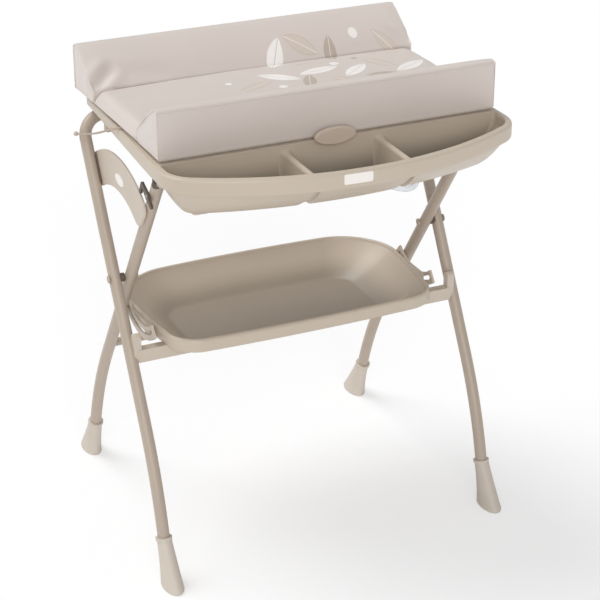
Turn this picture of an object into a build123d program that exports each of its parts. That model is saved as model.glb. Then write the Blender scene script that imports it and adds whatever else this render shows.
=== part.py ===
from build123d import *
import math
import os

# Folding baby changing table with a bathtub, a padded mat on top and a storage tray.
# Millimetres, +Z up, the front (accessory pockets) towards -Y, the feet on Z = 0.
# Every Y below is measured from the scissor pivot. Saving a piece moves it by pivot_y,
# which centres the whole object's box on the origin.

# Folding frame
tube_radius = 12.5
tube_wall = 1.5
pivot_height = 575.0
outer_leg_x = 371.0
leg_gap = 7.0
inner_leg_x = outer_leg_x - 2 * tube_radius - leg_gap
outer_lean = 29.9
inner_lean = 34.6
cross_tube_drop = 38.98
fold_range = 46.0
straight_below_pivot = 300.0
bend_radius = 850.0
outer_foot_lean = 13.0
inner_foot_lean = 17.0
corner_radius = 46.0
brace_reach = 275.0
brace_radius = 9.0

# Feet
foot_height = 95.0
foot_half_width = 21.0
foot_half_length = 39.0
foot_ring_radius = 15.0
foot_waist_height = 42.0
foot_waist_share = 0.62
foot_mouth_depth = 55.0
foot_lip = 2.0
foot_lip_height = 6.0
foot_edge = 3.0
foot_sole = 5.0
outer_sole_reach = 276.0
inner_sole_reach = 324.0

# Tub rim and apron
tub_rise = 330.0
rim_half_front = 368.0
rim_half_back = 352.0
rim_back = 214.0
rim_side_end = 216.0
tub_front_reach = 419.0
rim_shoulder = 310.82
rim_corner_radius = 72.0
rim_back_radius = 34.0
rim_plate = 4.0
rim_edge = 2.6
apron_wall = 3.0
apron_front_drop = 34.0
apron_back_drop = 19.0

# Tub basin
basin_half_width = 315.0
basin_front = -211.0
basin_back = 150.0
basin_corner = 80.0
basin_depth = 162.0
basin_floor_half_width = 245.0
basin_floor_front = -116.0
basin_floor_back = 94.0
basin_floor_corner = 60.0
basin_bottom_edge = 26.0
tub_wall = 3.0

# Pocket bay in front of the basin
bay_back = -242.0
bay_step = 23.0
bay_lip = 13.0
bay_hull_inset = 6.0
bay_depth = 97.0
bay_floor_half_width = 310.0
bay_floor_bow = 50.3
bay_floor_corner = 22.0
bay_floor_flat = 1.7
bay_floor_wall = 4.0
divider_x = 100.0
divider_crest_drop = 15.0
divider_crest_radius = 7.0
divider_foot_half = 19.0
notch_half = 15.0
notch_tip_half = 3.0
notch_height = 58.0
nub_length = 38.0
nub_width = 20.0
nub_height = 8.0
nub_x = 281.0
nub_y = -252.0

# Side rails, cross tube clips and label
pad_radius = 14.0
pad_width = 18.0
pad_stem = 26.0
rail_width = 20.0
rail_gap = 0.3
rail_stop = 16.0
rail_end_wall = 18.0
clip_width = 40.0
clip_wall = 5.0
clip_x = 210.0
clip_ear = 14.0
clip_ear_thick = 4.0
screw_radius = 2.2
screw_head_radius = 4.5
screw_head = 2.5
screw_bite = 2.5
label_x = -33.0
label_width = 58.0
label_height = 20.0
label_drop = 5.0
label_thick = 0.8

# Drain and hose
drain_x = 95.0
drain_y = -50.0
drain_radius = 15.0
drain_wall = 2.4
drain_flange_radius = 26.0
drain_flange = 3.0
drain_body = 34.0
drain_nut_radius = 21.0
drain_nut_height = 6.0
spigot_radius = 6.0
spigot_bore = 4.4
spigot_drop = 21.0
spigot_end_x = 132.0
plug_cap_radius = 17.0
plug_cap = 3.0
plug_gap = 0.3
plug_depth = 9.0
plug_knob_radius = 5.0
plug_knob = 8.0
hose_clip_wall = 3.0
hose_clip_height = 26.0
hose_clip_seat = 14.0
hose_points = [
    (132.0, -50.0, 722.0),
    (168.0, -50.0, 722.0),
    (206.0, -56.0, 706.0),
    (244.0, -60.0, 688.0),
    (279.0, -51.0, 680.0),
    (304.0, -27.0, 682.0),
    (313.0, 7.0, 695.0),
    (312.0, 36.0, 722.0),
    (307.0, 52.0, 758.0),
    (302.0, 56.0, 800.0),
    (302.0, 56.0, 836.0),
]

# Sector plates between the legs
sector_inner = 190.0
sector_outer = 262.0
sector_gap = 0.5
sector_front_angle = 38.0
sector_back_angle = -33.0
sector_tip_radius = 24.0
sector_heel_radius = 14.0
sector_seat_half = 10.0
sector_seat_inner = 198.0
sector_seat_outer = 254.0
sector_seat_thick = 5.0
rivet_radius = 2.5
rivet_head_radius = 5.0
rivet_head = 1.6
side_badge_reach = 218.0
side_badge_angle = 4.0
side_badge_length = 46.0
side_badge_width = 22.0

# Scissor pivots
pin_radius = 4.0
pin_head_radius = 8.0
pin_head = 3.0
spacer_radius = 9.0
running_clearance = 0.05
seat_gap = 0.3

# Side latches above the sector plates
latch_reach = 291.0
latch_thick = 5.0
latch_half = 8.0
latch_arm = 30.0
latch_tab = 26.0
latch_finger = 8.0
latch_clear = 2.0
latch_pin_radius = 3.0

# Storage tray
tray_drop = 97.0
tray_half_front = 298.0
tray_half_back = 315.0
tray_front = -150.0
tray_back = 208.0
tray_front_bow = 9.0
tray_side_bow = 5.0
tray_back_bow = 14.0
tray_front_corner = 62.0
tray_back_corner = 120.0
tray_band = 28.0
tray_depth = 75.0
tray_floor_half_width = 215.0
tray_floor_front = -50.0
tray_floor_back = 145.0
tray_floor_corner = 50.0
tray_bottom_edge = 22.0
tray_lip = 10.0
tray_wall = 3.0
guide_reach = 122.0
guide_inner = 109.0
guide_outer = 138.0
guide_pin_radius = 4.0
guide_slot_gap = 0.6
guide_plate = 5.0
guide_x = 317.5
guide_front_angle = -33.0
guide_end_margin = 6.0
guide_block_half = 45.0
guide_block_drop = 4.0
guide_block_height = 22.0
arm_y = -81.0
arm_half = 10.0
arm_height = 28.0
arm_end_x = 222.0
hook_rise = 6.0
hook_length = 60.0
hook_half = 9.0

# Changing mat
mat_half_width = 357.0
mat_front = -236.0
mat_back = 220.0
bolster_height = 97.4
mat_gap = 0.3
board_thick = 5.0
board_margin = 4.0
pad_thick = 26.0
pad_crown = 4.0
bolster_depth = 109.0
bolster_crest = 14.0
bolster_bow = 3.0
soft_edge = 6.0
badge_x = -310.0
badge_y = -18.0
badge_radius = 21.0
badge_thick = 1.5
hinge_y = 224.0
hinge_drop = 5.0
hinge_x = 230.0
hinge_knuckle_radius = 7.0
hinge_pin_radius = 3.0
hinge_leaf_width = 24.0
hinge_ear = 11.0
catch_width = 88.0
catch_height = 36.0
catch_thick = 7.0
catch_rise = 6.0
catch_face_y = -253.5
catch_pivot_rise = 12.5
catch_pivot_y = -241.5
catch_pin_radius = 2.0
catch_lug_radius = 4.5
catch_lug_half = 12.0
catch_ear = 6.0
elastic_radius = 2.0
elastic_ball_radius = 5.0
elastic_points = [
    (-353.0, -31.0, 907.8),
    (-369.0, -31.0, 907.8),
    (-387.5, 60.0, 866.0),
    (-389.0, 152.0, 838.0),
]

# One overrun serves every cut
over = 5.0

rear_toe_reach = inner_sole_reach + foot_half_length
pivot_y = (tub_front_reach - rear_toe_reach) / 2

# Heights over the floor, which follow from the sizes above
rim_height = pivot_height + tub_rise
upper_arm = (tub_rise - cross_tube_drop) / math.cos(math.radians(outer_lean))
tray_height = pivot_height - tray_drop
guide_block_high = tray_height - guide_block_drop
guide_block_low = guide_block_high - guide_block_height
hook_top = tray_height + hook_rise
hook_foot = hook_top - hook_length
hinge_z = rim_height - hinge_drop
catch_z = rim_height + catch_rise
catch_pivot_z = rim_height + catch_pivot_rise


def lean_point(reach, angle):
    """Side-view place at a reach above the pivot, leaning by an angle towards the front."""
    a = math.radians(angle)
    return (-reach * math.sin(a), pivot_height + reach * math.cos(a))


def save(part, label):
    """Move a finished piece into the object's frame, label it and write its STEP file."""
    placed = part.moved(Location((0, pivot_y, 0)))
    placed.label = label
    export_step(placed, f"parts/{label}.step")


def save_pair(part, name):
    """Write the left piece, and its mirror image on the right."""
    save(part, f"left_{name}")
    save(mirror(part, about=Plane.YZ), f"right_{name}")


def save_both(part, label):
    """Write the left piece and its mirror image as one group of separate solids."""
    with BuildPart() as both:
        add(part)
        mirror(about=Plane.YZ)
    save(both.part, label)


def across(x, y, z):
    """Place for a cylinder that lies along X."""
    return Location((x, y, z), (0, 90, 0))


def bow_radius(half_width, rise):
    """Radius of an arc from its half width and how far its middle stands out."""
    return (half_width**2 + rise**2) / (2 * rise)


os.makedirs("parts", exist_ok=True)

hinge_axis_y, hinge_axis_z = lean_point(upper_arm, -outer_lean)
pad_axis_y, pad_axis_z = lean_point(upper_arm, inner_lean)


# Frame tubes
def leg_path(lean, foot_lean, side):
    """Side-view places of a leg's knee, the foot's ring and the tube's end."""
    low_y, low_z = lean_point(-straight_below_pivot, side * lean)
    middle = math.radians((lean + foot_lean) / 2)
    half_chord = (low_z - foot_height) / math.cos(middle) / 2
    knee_y = low_y + side * half_chord * math.sin(math.radians(lean))
    knee_z = low_z - half_chord * math.cos(middle)
    slope = math.tan(math.radians(foot_lean))
    ring_y = knee_y + side * (knee_z - foot_height) * slope
    end_y = ring_y + side * foot_mouth_depth * slope
    return (knee_y, knee_z), (ring_y, foot_height), (end_y, foot_height - foot_mouth_depth)


def swept(route, outer, inner):
    """A round bar or tube along a route."""
    with BuildPart() as bar:
        with BuildSketch(Plane(origin=route @ 0, z_dir=route % 0)):
            Circle(outer)
            if inner:
                Circle(inner, mode=Mode.SUBTRACT)
        sweep(path=route)
    return bar.part


def front_route():
    """Centre line of the left outer leg, up to where it joins the rear cross tube."""
    knee, ring, end = leg_path(outer_lean, outer_foot_lean, -1)
    with BuildLine() as route:
        FilletPolyline(
            (-outer_leg_x, *end),
            (-outer_leg_x, *knee),
            (-outer_leg_x, hinge_axis_y, hinge_axis_z),
            (-cross_half, hinge_axis_y, hinge_axis_z),
            radius=[bend_radius, corner_radius],
        )
    return route.line, ring, end


def rear_route():
    """Centre line of the left inner leg, up to the glide pad."""
    knee, ring, end = leg_path(inner_lean, inner_foot_lean, 1)
    with BuildLine() as route:
        FilletPolyline(
            (-inner_leg_x, *end),
            (-inner_leg_x, *knee),
            (-inner_leg_x, pad_axis_y, pad_axis_z),
            radius=bend_radius,
        )
    return route.line, ring, end


cross_half = outer_leg_x - corner_radius - over
front_line, front_ring, front_end = front_route()
rear_line, rear_ring, rear_end = rear_route()
inner_bore = tube_radius - tube_wall
front_bar = swept(front_line, tube_radius, 0)
rear_bar = swept(rear_line, tube_radius, 0)

rivet_places = [lean_point(r, -outer_lean) for r in (sector_seat_inner + sector_seat_half,
                                                      sector_seat_outer - sector_seat_half)]

with BuildPart() as front_leg:
    add(swept(front_line, tube_radius, inner_bore))
    with Locations(across(-outer_leg_x, 0, pivot_height)):
        Cylinder(pin_radius, 4 * tube_radius, mode=Mode.SUBTRACT)
    with Locations([across(-outer_leg_x + tube_radius, y, z) for y, z in rivet_places]):
        Cylinder(rivet_radius, 2 * tube_radius, mode=Mode.SUBTRACT)
save_pair(front_leg.part, "front_leg")

with BuildPart() as rear_leg:
    add(swept(rear_line, tube_radius, inner_bore))
    with Locations(across(-inner_leg_x, 0, pivot_height)):
        Cylinder(pin_radius + running_clearance, 4 * tube_radius, mode=Mode.SUBTRACT)
    with Locations(across(-inner_leg_x, pad_axis_y, pad_axis_z)):
        Cylinder(pad_radius, 4 * tube_radius, mode=Mode.SUBTRACT)
    with Locations(across(-inner_leg_x + tube_radius, *lean_point(-guide_reach, inner_lean))):
        Cylinder(guide_pin_radius, 2 * tube_radius, mode=Mode.SUBTRACT)
    with Locations(across(-inner_leg_x - tube_radius, *lean_point(latch_reach, inner_lean))):
        Cylinder(latch_pin_radius, 2 * tube_radius, mode=Mode.SUBTRACT)
save_pair(rear_leg.part, "rear_leg")

with BuildPart() as rear_cross_tube:
    with BuildSketch(Plane.YZ.offset(-cross_half)):
        with Locations((hinge_axis_y, hinge_axis_z)):
            Circle(tube_radius)
            Circle(inner_bore, mode=Mode.SUBTRACT)
    extrude(amount=2 * cross_half)
save(rear_cross_tube.part, "rear_cross_tube")

with BuildPart() as leg_brace:
    with BuildSketch(Plane.YZ.offset(-inner_leg_x)):
        with Locations(lean_point(-brace_reach, inner_lean)):
            Circle(brace_radius)
    extrude(amount=2 * inner_leg_x)
    add(rear_bar, mode=Mode.SUBTRACT)
    add(mirror(rear_bar, about=Plane.YZ), mode=Mode.SUBTRACT)
save(leg_brace.part, "leg_brace")


# Feet: a tapering boot that takes the tube's end
def foot(leg_x, side, ring, end, sole_reach, bar):
    """Left boot of a leg, from its sole up to the ring round the tube."""
    ring_y, ring_z = ring
    sole_y = side * sole_reach
    lean = math.degrees(math.atan2(end[0] - ring_y, ring_z - end[1]))
    waist_y = ring_y + (sole_y - ring_y) * foot_waist_share
    waist_width = (foot_ring_radius + foot_half_width) / 2
    waist_length = (foot_ring_radius + foot_half_length) / 2
    with BuildPart() as boot:
        with BuildSketch():
            with Locations((-leg_x, sole_y)):
                Ellipse(foot_half_width, foot_half_length)
        extrude(amount=foot_sole)
        with BuildSketch(Plane.XY.offset(foot_sole)):
            with Locations((-leg_x, sole_y)):
                Ellipse(foot_half_width, foot_half_length)
        with BuildSketch(Plane.XY.offset(foot_waist_height)):
            with Locations((-leg_x, waist_y)):
                Ellipse(waist_width, waist_length)
        top = Plane(origin=(-leg_x, ring_y, ring_z), x_dir=(1, 0, 0),
                    z_dir=(0, -math.sin(math.radians(lean)), math.cos(math.radians(lean))))
        with BuildSketch(top):
            Circle(foot_ring_radius)
        loft()
        fillet(boot.faces().sort_by(Axis.Z)[0].edges(), foot_edge)
        with BuildSketch(top):
            Circle(foot_ring_radius + foot_lip)
        extrude(amount=-foot_lip_height)
        add(bar, mode=Mode.SUBTRACT)
    return boot.part


save_pair(foot(outer_leg_x, -1, front_ring, front_end, outer_sole_reach, front_bar), "front_foot")
save_pair(foot(inner_leg_x, 1, rear_ring, rear_end, inner_sole_reach, rear_bar), "rear_foot")


# Outlines seen from above
def bowed_outline(front, back, half_front, half_back, corner_front, corner_back, bows):
    """Four bowed sides with rounded corners; bows are those of the front, sides and back."""
    front_bow, side_bow, back_bow = bows
    middle_y = (front + back) / 2
    middle_x = (half_front + half_back) / 2 + side_bow
    corners = [(-half_front, front), (half_front, front), (half_back, back), (-half_back, back)]
    with BuildSketch() as outline:
        with BuildLine():
            ThreePointArc(corners[0], (0, front - front_bow), corners[1])
            ThreePointArc(corners[1], (middle_x, middle_y), corners[2])
            ThreePointArc(corners[2], (0, back + back_bow), corners[3])
            ThreePointArc(corners[3], (-middle_x, middle_y), corners[0])
        make_face()
        by_depth = outline.vertices().group_by(Axis.Y)
        fillet(by_depth[0], corner_front)
        fillet(outline.vertices().group_by(Axis.Y)[-1], corner_back)
    return outline.sketch


rim_front_radius = bow_radius(rim_half_front, tub_front_reach - rim_shoulder)


def rim_outline(inset):
    """The tub rim: a bowed front, long sides and a straight back, drawn in by an inset."""
    half_front = rim_half_front - inset
    bow = rim_front_radius - inset
    shoulder = bow - tub_front_reach + inset - math.sqrt(bow**2 - half_front**2)
    back = rim_back - inset
    with BuildSketch() as outline:
        with BuildLine():
            ThreePointArc((-half_front, shoulder), (0, inset - tub_front_reach), (half_front, shoulder))
            Polyline(
                (half_front, shoulder), (half_front, -rim_side_end),
                (rim_half_back - inset, back), (inset - rim_half_back, back),
                (-half_front, -rim_side_end), (-half_front, shoulder),
            )
        make_face()
        fillet(outline.vertices().group_by(Axis.Y)[0], rim_corner_radius - inset)
        fillet(outline.vertices().group_by(Axis.Y)[-1], rim_back_radius - inset)
    return outline.sketch


bay_floor_shoulder = bay_floor_corner + bay_floor_flat - bay_back - tub_wall
bay_floor_reach = bay_floor_shoulder + bay_floor_bow
bay_floor_radius = bow_radius(bay_floor_half_width, bay_floor_bow)


def bay_outline(reach, half_width, bow, corner, back):
    """The pocket bay: a bowed front and a straight back."""
    shoulder = bow - reach - math.sqrt(bow**2 - half_width**2)
    with BuildSketch() as outline:
        with BuildLine():
            ThreePointArc((-half_width, shoulder), (0, -reach), (half_width, shoulder))
            Polyline((half_width, shoulder), (half_width, back),
                     (-half_width, back), (-half_width, shoulder))
        make_face()
        fillet(outline.vertices().group_by(Axis.Y)[0], corner)
    return outline.sketch


def bay_mouth(inset, back):
    """The bay's outline under the rim, drawn in from the rim."""
    return bay_outline(tub_front_reach - inset, rim_half_front - inset, rim_front_radius - inset,
                       rim_corner_radius - inset, back)


def bay_floor(wall, back):
    """The bay's outline at its floor, drawn in by its wall."""
    return bay_outline(bay_floor_reach - wall, bay_floor_half_width - wall, bay_floor_radius - wall,
                       bay_floor_corner - 2 * wall, back)


def basin(wall):
    """The basin's outer body, or with a wall the space inside it."""
    floor_z = rim_height - basin_depth + wall
    with BuildPart() as body:
        with BuildSketch(Plane.XY.offset(rim_height)):
            with Locations((0, (basin_front + basin_back) / 2)):
                RectangleRounded(2 * (basin_half_width - wall), basin_back - basin_front - 2 * wall,
                                 basin_corner - wall)
        with BuildSketch(Plane.XY.offset(floor_z)):
            with Locations((0, (basin_floor_front + basin_floor_back) / 2)):
                RectangleRounded(2 * (basin_floor_half_width - wall),
                                 basin_floor_back - basin_floor_front - 2 * wall,
                                 basin_floor_corner - wall)
        loft()
        fillet(body.faces().sort_by(Axis.Z)[0].edges(), basin_bottom_edge - wall)
    return body.part


bay_floor_z = rim_height - bay_depth
bay_step_z = rim_height - bay_step
basin_body = basin(0)
basin_space = basin(tub_wall)

with BuildPart() as bay_body:
    with BuildSketch(Plane.XY.offset(rim_height - rim_plate)):
        add(bay_mouth(bay_hull_inset, bay_back + tub_wall))
    extrude(amount=bay_step_z - rim_height + rim_plate)
    with BuildSketch(Plane.XY.offset(bay_step_z)):
        add(bay_mouth(bay_hull_inset, bay_back + tub_wall))
    with BuildSketch(Plane.XY.offset(bay_floor_z)):
        add(bay_floor(0, bay_back + tub_wall))
    loft()

with BuildPart() as bay_space:
    with BuildSketch(Plane.XY.offset(rim_height + over)):
        add(bay_mouth(bay_lip, bay_back))
    extrude(amount=-bay_step - over)
    with BuildSketch(Plane.XY.offset(bay_step_z)):
        add(bay_mouth(bay_lip, bay_back))
    with BuildSketch(Plane.XY.offset(bay_floor_z + bay_floor_wall)):
        add(bay_floor(bay_floor_wall, bay_back))
    loft()
    for side in (-1, 1):
        with BuildSketch(Plane.XZ.offset(-bay_back - over)):
            with Locations((side * divider_x, rim_height - divider_crest_drop - divider_crest_radius)):
                Circle(divider_crest_radius)
            with Locations((side * divider_x, bay_floor_z)):
                Rectangle(2 * divider_foot_half, tub_wall)
            make_hull()
        extrude(amount=tub_front_reach + bay_back + 2 * over, mode=Mode.SUBTRACT)

with BuildPart() as tub_shell:
    with BuildSketch(Plane.XY.offset(rim_height)):
        add(rim_outline(0))
    extrude(amount=-apron_front_drop)
    with BuildSketch(Plane.XY.offset(rim_height - rim_plate)):
        add(rim_outline(apron_wall))
    extrude(amount=-apron_front_drop, mode=Mode.SUBTRACT)
    with BuildSketch(Plane.YZ.offset(-rim_half_front - over)):
        with BuildLine():
            Polyline(
                (-tub_front_reach, rim_height - apron_front_drop),
                (rim_back, rim_height - apron_back_drop),
                (rim_back, rim_height - apron_front_drop - over),
                (-tub_front_reach, rim_height - apron_front_drop - over),
                close=True,
            )
        make_face()
    extrude(amount=2 * (rim_half_front + over), mode=Mode.SUBTRACT)
    fillet(tub_shell.faces().sort_by(Axis.Z)[-1].edges(), rim_edge)
    add(bay_body.part)
    add(basin_body)
    add(bay_space.part, mode=Mode.SUBTRACT)
    add(basin_space, mode=Mode.SUBTRACT)
    for side in (-1, 1):
        with BuildSketch(Plane.XZ.offset(-bay_back - tub_wall - over)):
            with BuildLine():
                Polyline(
                    (side * divider_x - notch_half, bay_floor_z - over),
                    (side * divider_x - notch_tip_half, bay_floor_z + notch_height),
                    (side * divider_x + notch_tip_half, bay_floor_z + notch_height),
                    (side * divider_x + notch_half, bay_floor_z - over),
                    close=True,
                )
            make_face()
        extrude(amount=tub_front_reach + bay_back - bay_hull_inset, mode=Mode.SUBTRACT)
    with BuildSketch(Plane.XY.offset(bay_floor_z)):
        with Locations((-nub_x, nub_y), (nub_x, nub_y)):
            SlotOverall(nub_length, nub_width)
    extrude(amount=-nub_height)
    with Locations((drain_x, drain_y, rim_height - basin_depth)):
        Cylinder(drain_radius, 4 * tub_wall, mode=Mode.SUBTRACT)


# Label plate let into the apron's front
label_z = rim_height - label_drop - label_height
arc_centre_y = rim_front_radius - tub_front_reach
label_turn = math.degrees(label_width / rim_front_radius)
label_start = math.degrees(math.atan2(-rim_front_radius, label_x)) - label_turn / 2
with BuildPart() as label_plate:
    with BuildSketch(Plane.XY.offset(label_z)):
        with BuildLine():
            outer_arc = CenterArc((0, arc_centre_y), rim_front_radius, label_start, label_turn)
            inner_arc = CenterArc((0, arc_centre_y), rim_front_radius - label_thick, label_start, label_turn)
            Line(outer_arc @ 0, inner_arc @ 0)
            Line(outer_arc @ 1, inner_arc @ 1)
        make_face()
    extrude(amount=label_height)
save(label_plate.part, "label_plate")

# Side rails over the inner legs: the pads slide along their sloping lower faces
rail_slope = (hinge_axis_z - pad_axis_z) / (hinge_axis_y - pad_axis_y)
rail_rise = (pad_radius + rail_gap) * math.sqrt(1 + rail_slope**2)
folded_chord = 2 * upper_arm * math.sin(math.radians((outer_lean + inner_lean - fold_range) / 2))
rail_front = pad_axis_y - pad_radius - rail_gap
rail_back = hinge_axis_y - folded_chord + pad_radius + rail_gap


def rail_low(y):
    """Height of the rail's running face at a place along it."""
    return hinge_axis_z + (y - hinge_axis_y) * rail_slope + rail_rise


with BuildPart() as slide_rail:
    with BuildSketch(Plane.YZ.offset(-inner_leg_x - rail_width / 2)):
        with BuildLine():
            Polyline(
                (rail_front - rail_end_wall, rim_height - rim_plate),
                (rail_front - rail_end_wall, rail_low(rail_front) - rail_stop),
                (rail_front, rail_low(rail_front) - rail_stop),
                (rail_front, rail_low(rail_front)),
                (rail_back, rail_low(rail_back)),
                (rail_back, rail_low(rail_back) - rail_stop),
                (rail_back + rail_end_wall, rail_low(rail_back) - rail_stop),
                (rail_back + rail_end_wall, rim_height - rim_plate),
                close=True,
            )
        make_face()
    extrude(amount=rail_width)
save_pair(slide_rail.part, "slide_rail")

with BuildPart() as glide_pad:
    with Locations(across(-inner_leg_x, pad_axis_y, pad_axis_z)):
        Cylinder(pad_radius, pad_width)
    with BuildSketch(Plane(origin=(-inner_leg_x, pad_axis_y, pad_axis_z), z_dir=-(rear_line % 1))):
        Circle(inner_bore)
    extrude(amount=pad_radius + pad_stem)
save_both(glide_pad.part, "glide_pads")

# Clips that hang the tub on the rear cross tube
clip_radius = tube_radius + running_clearance
clip_top = rim_height - rim_plate
with BuildPart() as clip:
    with BuildSketch(Plane.YZ.offset(-clip_x - clip_width / 2)):
        with Locations((hinge_axis_y, hinge_axis_z)):
            Circle(clip_radius + clip_wall)
        with Locations((hinge_axis_y, (hinge_axis_z + clip_top) / 2)):
            Rectangle(2 * (clip_radius + clip_wall), clip_top - hinge_axis_z)
        with Locations((hinge_axis_y, hinge_axis_z)):
            Circle(clip_radius, mode=Mode.SUBTRACT)
    extrude(amount=clip_width)
    with BuildSketch(Plane.XY.offset(clip_top)):
        with Locations((-clip_x, hinge_axis_y)):
            Rectangle(clip_width + 2 * clip_ear, 2 * (clip_radius + clip_wall))
    extrude(amount=-clip_ear_thick)
    screw_x = clip_width / 2 + clip_ear / 2
    with Locations((-clip_x - screw_x, hinge_axis_y, clip_top), (-clip_x + screw_x, hinge_axis_y, clip_top)):
        Cylinder(screw_radius, 2 * (clip_ear_thick + over), mode=Mode.SUBTRACT)
save_both(clip.part, "cross_tube_clips")

with BuildPart() as clip_screw:
    screw_top = clip_top + screw_bite
    screw_low = clip_top - clip_ear_thick
    with BuildSketch(Plane.XY.offset(screw_top)):
        with Locations((-clip_x - screw_x, hinge_axis_y), (-clip_x + screw_x, hinge_axis_y)):
            Circle(screw_radius)
    extrude(amount=screw_low - screw_top)
    with BuildSketch(Plane.XY.offset(screw_low)):
        with Locations((-clip_x - screw_x, hinge_axis_y), (-clip_x + screw_x, hinge_axis_y)):
            Circle(screw_head_radius)
    extrude(amount=-screw_head)
save_both(clip_screw.part, "clip_screws")

# Drain: a flanged fitting through the basin floor, its nut and its lift-out plug
floor_top = rim_height - basin_depth + tub_wall
floor_low = rim_height - basin_depth
spigot_z = floor_low - spigot_drop
with BuildPart() as drain_fitting:
    with BuildSketch(Plane.XY.offset(floor_top + drain_flange)):
        with Locations((drain_x, drain_y)):
            Circle(drain_flange_radius)
    extrude(amount=-drain_flange)
    with BuildSketch(Plane.XY.offset(floor_top)):
        with Locations((drain_x, drain_y)):
            Circle(drain_radius)
    extrude(amount=-drain_body)
    with BuildSketch(Plane.YZ.offset(drain_x)):
        with Locations((drain_y, spigot_z)):
            Circle(spigot_radius)
    extrude(amount=spigot_end_x - drain_x)
    with BuildSketch(Plane.XY.offset(floor_top + drain_flange)):
        with Locations((drain_x, drain_y)):
            Circle(drain_radius - drain_wall)
    extrude(amount=drain_wall - drain_body - drain_flange, mode=Mode.SUBTRACT)
    with BuildSketch(Plane.YZ.offset(drain_x)):
        with Locations((drain_y, spigot_z)):
            Circle(spigot_bore)
    extrude(amount=spigot_end_x - drain_x, mode=Mode.SUBTRACT)
save(drain_fitting.part, "drain_fitting")

with BuildPart() as drain_nut:
    with BuildSketch(Plane.XY.offset(floor_low)):
        with Locations((drain_x, drain_y)):
            RegularPolygon(drain_nut_radius, 6)
            Circle(drain_radius, mode=Mode.SUBTRACT)
    extrude(amount=-drain_nut_height)
save(drain_nut.part, "drain_nut")

with BuildPart() as drain_plug:
    with BuildSketch(Plane.XY.offset(floor_top + drain_flange)):
        with Locations((drain_x, drain_y)):
            Circle(plug_cap_radius)
    extrude(amount=plug_cap)
    fillet(drain_plug.faces().sort_by(Axis.Z)[-1].edges(), plug_cap / 2)
    with BuildSketch(Plane.XY.offset(floor_top + drain_flange)):
        with Locations((drain_x, drain_y)):
            Circle(drain_radius - drain_wall - plug_gap)
    extrude(amount=-plug_depth)
    with BuildSketch(Plane.XY.offset(floor_top + drain_flange + plug_cap)):
        with Locations((drain_x, drain_y)):
            Circle(plug_knob_radius)
    extrude(amount=plug_knob)
    fillet(drain_plug.faces().sort_by(Axis.Z)[-1].edges(), plug_knob_radius / 2)
save(drain_plug.part, "drain_plug")


# Drain hose: straight runs joined by arcs as large as the runs allow
def arc_radii(points):
    """The radius of each corner: 0.45 of the shorter run over the tangent of half the turn."""
    radii = []
    corners = [Vector(*p) for p in points]
    for before, here, after in zip(corners, corners[1:], corners[2:]):
        turn = math.radians((here - before).get_angle(after - here))
        shorter = min((here - before).length, (after - here).length)
        radii.append(arc_share * shorter / math.tan(turn / 2))
    return radii


arc_share = 0.45
hose_radii = arc_radii(hose_points)
with BuildLine() as hose_route:
    FilletPolyline(*hose_points, radius=hose_radii)
hose_length = hose_route.wires()[0].length
drain_hose_part = swept(hose_route.line, spigot_radius, spigot_bore)
save(drain_hose_part, "drain_hose")
hose_section = math.pi * (spigot_radius**2 - spigot_bore**2)
print("hose length", round(hose_length, 1), "radii", [round(r) for r in hose_radii],
      "volume share", round(drain_hose_part.volume / hose_section / hose_length, 4))

clip_end = hose_points[-1]
with BuildPart() as hose_clip:
    with BuildSketch(Plane.XY.offset(clip_end[2] - hose_clip_seat)):
        with Locations((clip_end[0], clip_end[1])):
            Circle(spigot_radius + hose_clip_wall)
        with Locations((clip_end[0] - 2 * spigot_radius, clip_end[1])):
            Rectangle(4 * (spigot_radius + hose_clip_wall), 2 * hose_clip_wall)
    extrude(amount=hose_clip_height)
    with BuildSketch(Plane.XY.offset(clip_end[2])):
        with Locations((clip_end[0], clip_end[1])):
            Circle(spigot_radius)
    extrude(amount=-hose_clip_seat, mode=Mode.SUBTRACT)
    add(basin_body, mode=Mode.SUBTRACT)
save(hose_clip.part, "hose_clip")

# Rear hinge brackets on the apron, shared by both hinges
hinge_half = hinge_leaf_width / 2
with BuildPart() as hinge_bracket:
    for start in (-hinge_x - hinge_half - hinge_ear, -hinge_x + hinge_half + seat_gap):
        with BuildSketch(Plane.YZ.offset(start)):
            with Locations((hinge_y, hinge_z)):
                Circle(hinge_knuckle_radius)
            with Locations(((rim_back + hinge_y) / 2, hinge_z - hinge_knuckle_radius / 2)):
                Rectangle(hinge_y - rim_back, hinge_knuckle_radius)
            with Locations((rim_back, hinge_z)):
                Rectangle(2 * tub_wall, 2 * hinge_knuckle_radius + 2 * tub_wall, mode=Mode.SUBTRACT)
            with Locations((hinge_y, hinge_z)):
                Circle(hinge_pin_radius, mode=Mode.SUBTRACT)
        extrude(amount=hinge_ear - seat_gap)

with BuildPart() as hinge_pin:
    with BuildSketch(Plane.YZ.offset(-hinge_x - hinge_half - hinge_ear)):
        with Locations((hinge_y, hinge_z)):
            Circle(hinge_pin_radius)
    extrude(amount=hinge_leaf_width + 2 * hinge_ear)
save_both(hinge_pin.part, "hinge_pins")

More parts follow.
